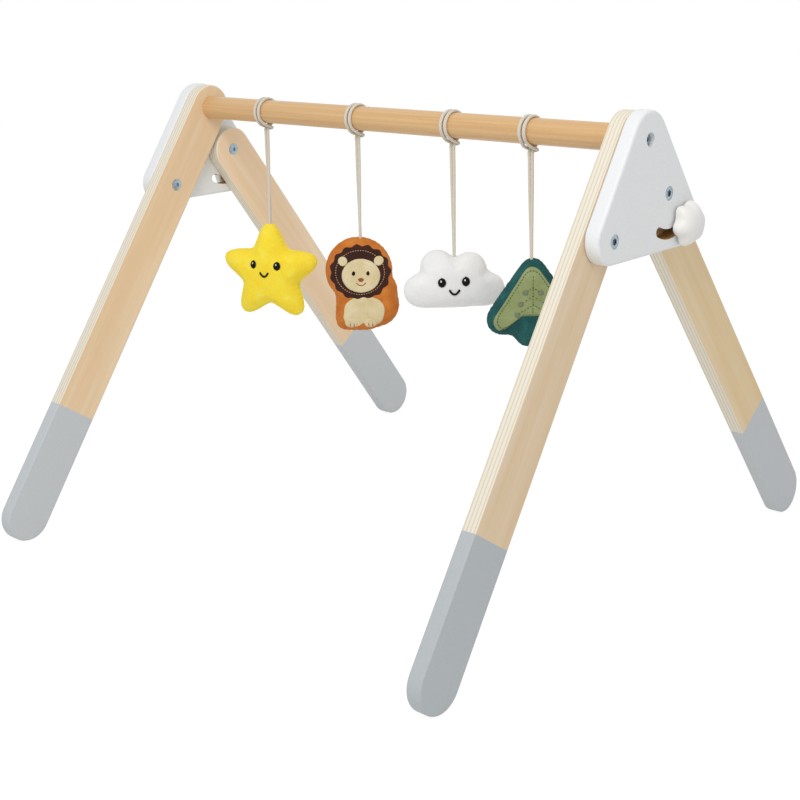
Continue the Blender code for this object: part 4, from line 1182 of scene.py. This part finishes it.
def sewn_shell(name):
    """Two dished panels on a toy's outline, in the toy's own frame, at the simulation's scale."""
    reach, thickness, fullness = REACH[name], THICKNESS[name] - 2 * THINNED, FULLNESS[name]
    nudge = Vector((*NUDGE[name], 0)) * MM * SIM_SCALE
    soft = eased(reach, SOFTENED_OVER)
    half = [(share, thickness / 2 * math.sqrt(1 - share**fullness)) for share in SHELL_RINGS]
    stack = half + [(1.0, 0.0)] + [(share, -crown) for share, crown in reversed(half)]
    rows = []
    for share, crown in stack:
        row = []
        for degree in RING_DEGREES:
            turn = math.radians(degree)
            softened = soft[degree] + (reach[degree] - soft[degree]) * share**SOFTENING
            far = (softened + RIM_SPARE) * share * SIM_SCALE
            place = Vector((far * math.cos(turn), far * math.sin(turn), crown * SIM_SCALE))
            row.append(place + nudge)
        rows.append(row)
    poles = [nudge + Vector((0, 0, way * thickness / 2 * SIM_SCALE)) for way in (1, -1)]
    return skinned(f"{name}_shell", rows, poles)


print(2 * len(SHELL_RINGS) + 1, "rings of", len(RING_DEGREES), "points in a shell")

# %% [markdown]
# Cloth with pressure inside then fills the shell, as stuffing does: the panels swell, and the rim
# pulls in. The shell is remeshed first so that its cloth is even, and no point may move further
# than a cap. The seam's furrow and its small puckers come last, because the remesh would lose
# them.

# %% Stuffing
VOXEL = 2.2 * MM
MOST_SWELL, MOST_PULL = 2.6 * MM, 1 * MM
SIM_FRAMES, SIM_QUALITY, SIM_PRESSURE = 20, 6, 4
SEAM_DEPTH, SEAM_WIDTH, RIM_GAIN = 0.9 * MM, 1.1 * MM, 1.6
PUCKER_DEPTH, PUCKER_LENGTH, PUCKER_REACH = 0.15 * MM, 7 * MM, 5 * MM
PILE_ROUGHNESS, PILE_SIZE = 0.16 * MM, 2 * MM


def fill(shell):
    """Swells a shell as cloth with pressure inside, and caps how far each point moves."""
    cloth = shell.modifiers.new("filling", "CLOTH")
    settings = cloth.settings
    settings.quality = SIM_QUALITY
    settings.use_pressure = True
    settings.uniform_pressure_force = SIM_PRESSURE
    settings.effector_weights.gravity = 0
    cloth.point_cache.frame_start, cloth.point_cache.frame_end = 1, SIM_FRAMES
    scene = bpy.context.scene
    for step in range(1, SIM_FRAMES + 1):
        scene.frame_set(step)
    swollen = [v.co.copy() for v in evaluated_mesh(shell).vertices]
    shell.modifiers.remove(cloth)
    scene.frame_set(1)
    most_out, most_in = MOST_SWELL * SIM_SCALE, MOST_PULL * SIM_SCALE
    for vertex, goal in zip(shell.data.vertices, swollen):
        move = goal - vertex.co
        pull = Vector((move.x, move.y, 0))
        if pull.length > most_in:
            pull *= most_in / pull.length
        vertex.co += Vector((pull.x, pull.y, max(-most_out, min(most_out, move.z))))


def seam_and_pile(mesh):
    """Draws the seam's furrow and puckers round the rim, and roughens the cloth with its pile."""
    moves = []
    for vertex in mesh.vertices:
        u, v, w = vertex.co
        away = Vector((u, v, 0))
        inward = -away.normalized() if away.length > 1e-6 else Vector((0, 0, 0))
        rim = min(1.0, max(0.0, 1 - abs(vertex.normal.z)) * RIM_GAIN)
        furrow = SEAM_DEPTH * math.exp(-((w / SEAM_WIDTH) ** 2)) * rim
        around = math.atan2(v, u) * away.length
        near_rim = math.exp(-((abs(w) - 2 * SEAM_WIDTH) / PUCKER_REACH) ** 2) * rim
        pucker = PUCKER_DEPTH * math.sin(2 * math.pi * around / PUCKER_LENGTH) * near_rim
        pile = PILE_ROUGHNESS * noise.noise(vertex.co / PILE_SIZE)
        moves.append(inward * furrow + vertex.normal * (pucker + pile))
    for vertex, move in zip(mesh.vertices, moves):
        vertex.co += move


def stuffed(name):
    """A toy's stuffed mesh in its own frame."""
    shell = bpy.data.objects.new(f"{name}_shell", sewn_shell(name))
    bpy.context.scene.collection.objects.link(shell)
    even = shell.modifiers.new("even_cloth", "REMESH")
    even.mode = "VOXEL"
    even.voxel_size = VOXEL * SIM_SCALE
    even_mesh = evaluated_mesh(shell)
    shell.modifiers.remove(even)
    shell.data = even_mesh
    fill(shell)
    fine = shell.modifiers.new("fine", "SUBSURF")
    fine.levels = fine.render_levels = 2
    mesh = evaluated_mesh(shell)
    bpy.data.objects.remove(shell)
    mesh.name = f"{name}_plush"
    mesh.transform(Matrix.Scale(1 / SIM_SCALE, 4))
    seam_and_pile(mesh)
    mesh.shade_smooth()
    return mesh


print("cloth is filled over", SIM_FRAMES, "frames")

# %% [markdown]
# Each toy is stuffed in its own frame and then stood in the gym's. A search tree of its skin is
# kept from before that, so that patches and threads can be laid on it.

# %% Stuffed toys
PLUSH = {"star": yellow_plush, "lion": orange_plush, "cloud": white_plush, "tree": teal_plush}

skins = {}
for name in TOYS:
    toy_mesh = stuffed(name)
    toy_mesh.materials.clear()
    toy_mesh.materials.append(PLUSH[name])
    skins[name] = BVHTree.FromPolygons(
        [v.co.copy() for v in toy_mesh.vertices], [list(p.vertices) for p in toy_mesh.polygons]
    )
    toy_mesh.transform(toy_frame(name))
    toy = new_piece(f"{name}_plush", toy_mesh, f"{name}_hanger", [f"{name}_toy"])
    print(name, len(toy_mesh.polygons), "faces")

# %% [markdown]
# Whatever is sewn on a toy's face is drawn flat and then laid on the stuffed skin: each point
# drops onto the skin along the face's direction and rises again by its own height. Velvet patches
# have a puffed middle and a pressed edge, as a patch does where its stitches hold it down.

# %% Velvet patches
ABOVE_TOY = 100 * MM
PATCH_RINGS = (0.12, 0.25, 0.38, 0.5, 0.62, 0.72, 0.81, 0.88, 0.94, 0.98, 1.0)
PATCH_EDGE, PATCH_UNDER, PUFF_POWER = 0.1 * MM, 0.7 * MM, 8


def laid(name, u, v, height):
    """A point of the toy's skin under a flat place, lifted by a height along the skin's normal."""
    hit, normal, _, _ = skins[name].ray_cast(Vector((u, v, ABOVE_TOY)), Vector((0, 0, -1)))
    if hit is None:
        hit, normal, _, _ = skins[name].find_nearest(Vector((u, v, 0)))
    return hit + normal * height


def sewn_on(name, label, mesh):
    """Stands a mesh that was laid on a toy's skin in the gym's frame, as a piece of that toy."""
    mesh.transform(toy_frame(name))
    mesh.shade_smooth()
    new_piece(f"{name}_{label}", mesh, f"{name}_hanger")


def patch(name, label, centre, reach, lift, finish):
    """A puffed patch on a toy, from its reach in metres for each degree from its centre."""
    middle_u, middle_v = centre[0] * MM, centre[1] * MM
    rings = [(share, lift * math.sqrt(1 - share**PUFF_POWER) + PATCH_EDGE) for share in PATCH_RINGS]
    rows = []
    for share, height in [*rings, (1.0, -PATCH_UNDER)]:
        row = []
        for degree in RING_DEGREES:
            turn = math.radians(degree)
            u = middle_u + reach[degree] * share * math.cos(turn)
            v = middle_v + reach[degree] * share * math.sin(turn)
            row.append(laid(name, u, v, height))
        rows.append(row)
    poles = [laid(name, middle_u, middle_v, top) for top in (lift + PATCH_EDGE, -PATCH_UNDER)]
    mesh = skinned(f"{name}_{label}", rows, poles)
    mesh.materials.append(finish)
    sewn_on(name, label, mesh)


def oval(width, height):
    """The reach of an oval by its half axes in millimetres."""
    turns = [math.radians(degree) for degree in range(360)]
    return [MM / math.hypot(math.cos(t) / width, math.sin(t) / height) for t in turns]


MANE_PETALS, PETAL_SHARE = 15, 0.035
mane = [
    far * (1 + PETAL_SHARE * math.cos(MANE_PETALS * math.radians(degree)))
    for degree, far in enumerate(oval(31, 28.5))
]
belly = reach_of([(-7, -1, 13), (8, -1, 14), (9, -6, 12), (-10, -8, 11), (0, 6, 12)])
patch("lion", "mane", (-0.5, 13.3), mane, 0.8 * MM, brown_velvet)
patch("lion", "belly", (2, -26), belly, 0.5 * MM, cream_velvet)
for label, u in (("ear_left", -18), ("ear_right", 19)):
    patch("lion", label, (u, 25.5), oval(5, 5), 1.7 * MM, cream_velvet)
patch("lion", "face", (0.5, 10.3), oval(20.3, 18.2), 1.9 * MM, cream_velvet)
for label, u in (("paw_left", -11), ("paw_right", 9)):
    patch("lion", label, (u, -40.5), oval(6.6, 4.8), 1.5 * MM, cream_velvet)
print("patches on the lion")

# %% [markdown]
# The tree's panel is a smaller copy of its crown with a notch cut out below for the trunk. The
# notch is cut straight across the reach and its corners are eased, as scissors leave them.

# %% The tree's panel
NOTCH_HALF, NOTCH_TOP, NOTCH_EASE = 11.5 * MM, 11 * MM, 2
LEAST_FALL = 0.05

panel = reach_of(swell_round(((0, 27, 8.5), (-27.5, -17.5, 9.5), (28, -15.5, 9.5))), 4)
notched = []
for degree, far in enumerate(panel):
    turn = math.radians(degree)
    fall = -math.sin(turn)
    stop = NOTCH_TOP / fall if fall > LEAST_FALL else far
    inside = abs(stop * math.cos(turn)) < NOTCH_HALF
    notched.append(min(far, stop) if inside else far)
notched = eased(notched, NOTCH_EASE)
patch("tree", "panel", (0, 0), notched, 0.9 * MM, green_velvet)
print("panel reaches up", round(notched[90] / MM, 1), "mm")

# %% [markdown]
# Running stitches repeat along a line, so a tree sets them: the line is cut at an even spacing,
# and each cut gets a short thread along the line's direction.

# %% A tree for running stitches
stitch_tree, given = new_tree(
    "running_stitch",
    {"Spacing": 2.6 * MM, "Stitch Length": 1.8 * MM, "Thread Width": 0.6 * MM},
)
line = add(stitch_tree, "GeometryNodeMeshToCurve", {}, {0: given["Geometry"]})
cut = add(
    stitch_tree,
    "GeometryNodeResampleCurve",
    {"mode": "LENGTH"},
    {"Curve": line, "Length": given["Spacing"]},
)
thread = add(
    stitch_tree, "GeometryNodeMeshUVSphere", {}, {"Segments": 8, "Rings": 5, "Radius": 0.5}
)
tangent = add(stitch_tree, "GeometryNodeInputTangent")
thread_way = add(
    stitch_tree, "FunctionNodeAlignRotationToVector", {"axis": "X"}, {"Vector": tangent}
)
width = given["Thread Width"]
size = add(stitch_tree, "ShaderNodeCombineXYZ", {}, {0: given["Stitch Length"], 1: width, 2: width})
stitched = add(
    stitch_tree,
    "GeometryNodeInstanceOnPoints",
    {},
    {"Points": cut, "Instance": thread, "Rotation": thread_way, "Scale": size},
)
end_tree(stitch_tree, given, stitched)

# %% [markdown]
# A satin-stitched eye is a row of threads side by side, each as long as the oval is wide there.
# The threads stand higher towards the middle, so the eye has a crown. Each thread's size is kept
# from before its point moves, because it comes from the point's first place.

# %% A tree for satin stitches
ROW_END = 0.97

satin_tree, given = new_tree(
    "satin_patch",
    {
        "Half Width": 3 * MM,
        "Half Height": 4 * MM,
        "Thread Width": 0.5 * MM,
        "Threads": 15,
        "Crown": 0.6 * MM,
    },
)
row_points = add(
    satin_tree,
    "GeometryNodeMeshLine",
    {"mode": "END_POINTS"},
    {
        "Count": given["Threads"],
        "Start Location": (0, -ROW_END, 0),
        "Offset": (0, ROW_END, 0),
    },
)
place = add(satin_tree, "GeometryNodeInputPosition")
spot = add(satin_tree, "ShaderNodeSeparateXYZ", {}, {0: place}).outputs
square = add(satin_tree, "ShaderNodeMath", {"operation": "POWER"}, {0: spot[1], 1: 2})
rest_of = add(satin_tree, "ShaderNodeMath", LESS, {0: 1, 1: square})
chord = add(satin_tree, "ShaderNodeMath", {"operation": "SQRT"}, {0: rest_of})
row_v = add(satin_tree, "ShaderNodeMath", TIMES, {0: spot[1], 1: given["Half Height"]})
row_w = add(satin_tree, "ShaderNodeMath", TIMES, {0: chord, 1: given["Crown"]})
half_chord = add(satin_tree, "ShaderNodeMath", TIMES, {0: chord, 1: given["Half Width"]})
double = add(satin_tree, "ShaderNodeMath", TIMES, {0: half_chord, 1: 2})
width = given["Thread Width"]
row_size = add(satin_tree, "ShaderNodeCombineXYZ", {}, {0: double, 1: width, 2: width})
thread = add(
    satin_tree, "GeometryNodeMeshUVSphere", {}, {"Segments": 8, "Rings": 7, "Radius": 0.5}
)
lying = add(
    satin_tree,
    "GeometryNodeTransform",
    {},
    {"Geometry": thread, "Rotation": (0, math.pi / 2, 0)},
)
captured = add(satin_tree, "GeometryNodeCaptureAttribute", {}, {"Geometry": row_points})
captured.capture_items.new("VECTOR", "Size")
satin_tree.links.new(row_size.outputs[0], captured.inputs["Size"])
row_place = add(satin_tree, "ShaderNodeCombineXYZ", {}, {1: row_v, 2: row_w})
moved = add(
    satin_tree,
    "GeometryNodeSetPosition",
    {},
    {"Geometry": captured.outputs["Geometry"], "Position": row_place},
)
satin_rows = add(
    satin_tree,
    "GeometryNodeInstanceOnPoints",
    {},
    {"Points": moved, "Instance": lying, "Scale": captured.outputs["Size"]},
)
end_tree(satin_tree, given, satin_rows)

# %% [markdown]
# Threads are grown flat, in millimetres on a toy's face, and then laid on its skin point by
# point. A smile is a bow of stitches close together, and a patch is held by stitches round its
# outline.

# %% Threads on a toy
SATIN_SPACING, SATIN_WIDTH, SATIN_CROWN, FEWEST_THREADS = 0.42, 0.75, 0.16, 5


def sew(name, label, mesh, centre, lift):
    """Lays a flat mesh of threads on a toy's skin, about a centre in millimetres."""
    base = Vector((centre[0] * MM, centre[1] * MM, 0))
    for vertex in mesh.vertices:
        u, v, w = vertex.co + base
        vertex.co = laid(name, u, v, w + lift)
    sewn_on(name, label, mesh)


def satin(name, label, centre, half_width, half_height, finish, lift=0.1 * MM):
    """A satin-stitched oval on a toy's face, by its half axes in millimetres."""
    values = {
        "Half Width": half_width * MM,
        "Half Height": half_height * MM,
        "Threads": max(FEWEST_THREADS, round(2 * half_height / SATIN_SPACING)),
        "Crown": SATIN_CROWN * half_width * MM,
        "Thread Width": SATIN_WIDTH * MM,
        "Material": finish,
    }
    seed = bpy.data.meshes.new("satin_seed")
    sew(name, label, grown(label, satin_tree, seed, values), centre, lift)


def stitches(name, label, points, finish, lift, spacing=2.6, length=1.8, width=0.6):
    """Running stitches along points in millimetres on a toy's face."""
    seed = bpy.data.meshes.new(f"{label}_line")
    places = [(u * MM, v * MM, 0) for u, v in points]
    seed.from_pydata(places, [(i, i + 1) for i in range(len(places) - 1)], [])
    values = {
        "Spacing": spacing * MM,
        "Stitch Length": length * MM,
        "Thread Width": width * MM,
        "Material": finish,
    }
    sew(name, label, grown(label, stitch_tree, seed, values), (0, 0), lift)


def bow(centre, half_width, sag, count=24):
    """Points of a smile: an arc that sags below the line of its ends."""
    steps = [2 * i / count - 1 for i in range(count + 1)]
    return [(centre[0] + half_width * t, centre[1] - sag * (1 - t * t)) for t in steps]


def ring_points(centre, reach, share, count=90):
    """Points round a patch's outline, at a share of its reach, closed."""
    points = []
    for i in range(count + 1):
        degree = round(360 * i / count) % 360
        turn = math.radians(degree)
        far = reach[degree] / MM * share
        points.append((centre[0] + far * math.cos(turn), centre[1] + far * math.sin(turn)))
    return points


print("ready to sew")

# %% [markdown]
# Faces and lines are now sewn on. Star and cloud have two round black eyes with a white glint and
# a small smile. The lion has round eyes, a rust nose and a mouth, a row of running stitches on
# its mane, and toes. The tree's panel has a stitched trunk line with slanting branches and a
# satin bud on each.

# %% Embroidery
EYES = {
    "star": ((-14.1, 13.1, 3.6, 4.3), (14.1, 12.4, 4.4, 4.5)),
    "cloud": ((-13.1, 2.6, 4.2, 4.5), (10.1, 3.4, 4.2, 4.5)),
}
# A glint's place in its eye, as shares of the eye's half axes, and its own half axes
GLINT_PLACE, GLINT_SIZE = (-0.2, 0.3), (0.8, 0.9)
SMILES = {"star": (-1.2, 4.2), "cloud": (-1, -5.2)}
SIDES = (("left", -1), ("right", 1))
TREE_STITCH = {"spacing": 2.9, "length": 2.2, "width": 0.9}

for name, pair in EYES.items():
    for (label, _), (u, v, half_width, half_height) in zip(SIDES, pair):
        satin(name, f"eye_{label}", (u, v), half_width, half_height, threads["black"])
        glint = (u + GLINT_PLACE[0] * half_width, v + GLINT_PLACE[1] * half_height)
        satin(name, f"glint_{label}", glint, *GLINT_SIZE, threads["white"], 0.9 * MM)
for name, centre in SMILES.items():
    stitches(name, "smile", bow(centre, 4.6, 4), threads["black"], 0.4 * MM, 0.6, 1.9, 2.2)

for label, u in (("left", -7), ("right", 8)):
    satin("lion", f"eye_{label}", (u, 13), 1.8, 2.2, threads["black"], 1.9 * MM)
satin("lion", "nose", (0.5, 6.4), 3, 1.9, threads["rust"], 1.9 * MM)
mouth = bow((0.5, 2.6), 4.6, 2.6)
stitches("lion", "mouth", mouth, threads["rust"], 2.1 * MM, 0.6, 1.3, 0.9)
mane_ring = ring_points((-0.5, 13.5), oval(29.5, 27), 0.85)
stitches("lion", "mane_stitches", mane_ring, threads["tan"], 0.9 * MM)
for label, u in (("left", -10), ("right", 9)):
    for toe, shift in (("a", -1.9), ("b", 1.9)):
        line = [(u + shift, -43.6 + 0.5 * i) for i in range(7)]
        stitches("lion", f"toe_{label}_{toe}", line, threads["rust"], 1.7 * MM, 0.7, 1.1, 0.7)

panel_ring = ring_points((0, 0), notched, 0.9, 120)
stitches("tree", "panel_stitches", panel_ring, threads["green"], 0.9 * MM, **TREE_STITCH)
trunk = [(0.6 - 0.02 * i, 26 - i) for i in range(34)]
stitches("tree", "trunk_line", trunk, threads["green"], 1 * MM, **TREE_STITCH)
for row, (v, half) in enumerate(((16, 5), (8, 9.5), (0, 13))):
    for label, way in SIDES:
        branch = [(0.4 + way * half * i / 12, v - 0.62 * half * i / 12) for i in range(13)]
        stitches(
            "tree", f"branch_{row}_{label}", branch, threads["green"], 1 * MM, **TREE_STITCH
        )
        bud = (branch[-1][0] + 2.2 * way, branch[-1][1] - 1.6)
        satin("tree", f"bud_{row}_{label}", bud, 2.6, 2.3, threads["sage"], 1 * MM)
print("faces and stitches sewn on")
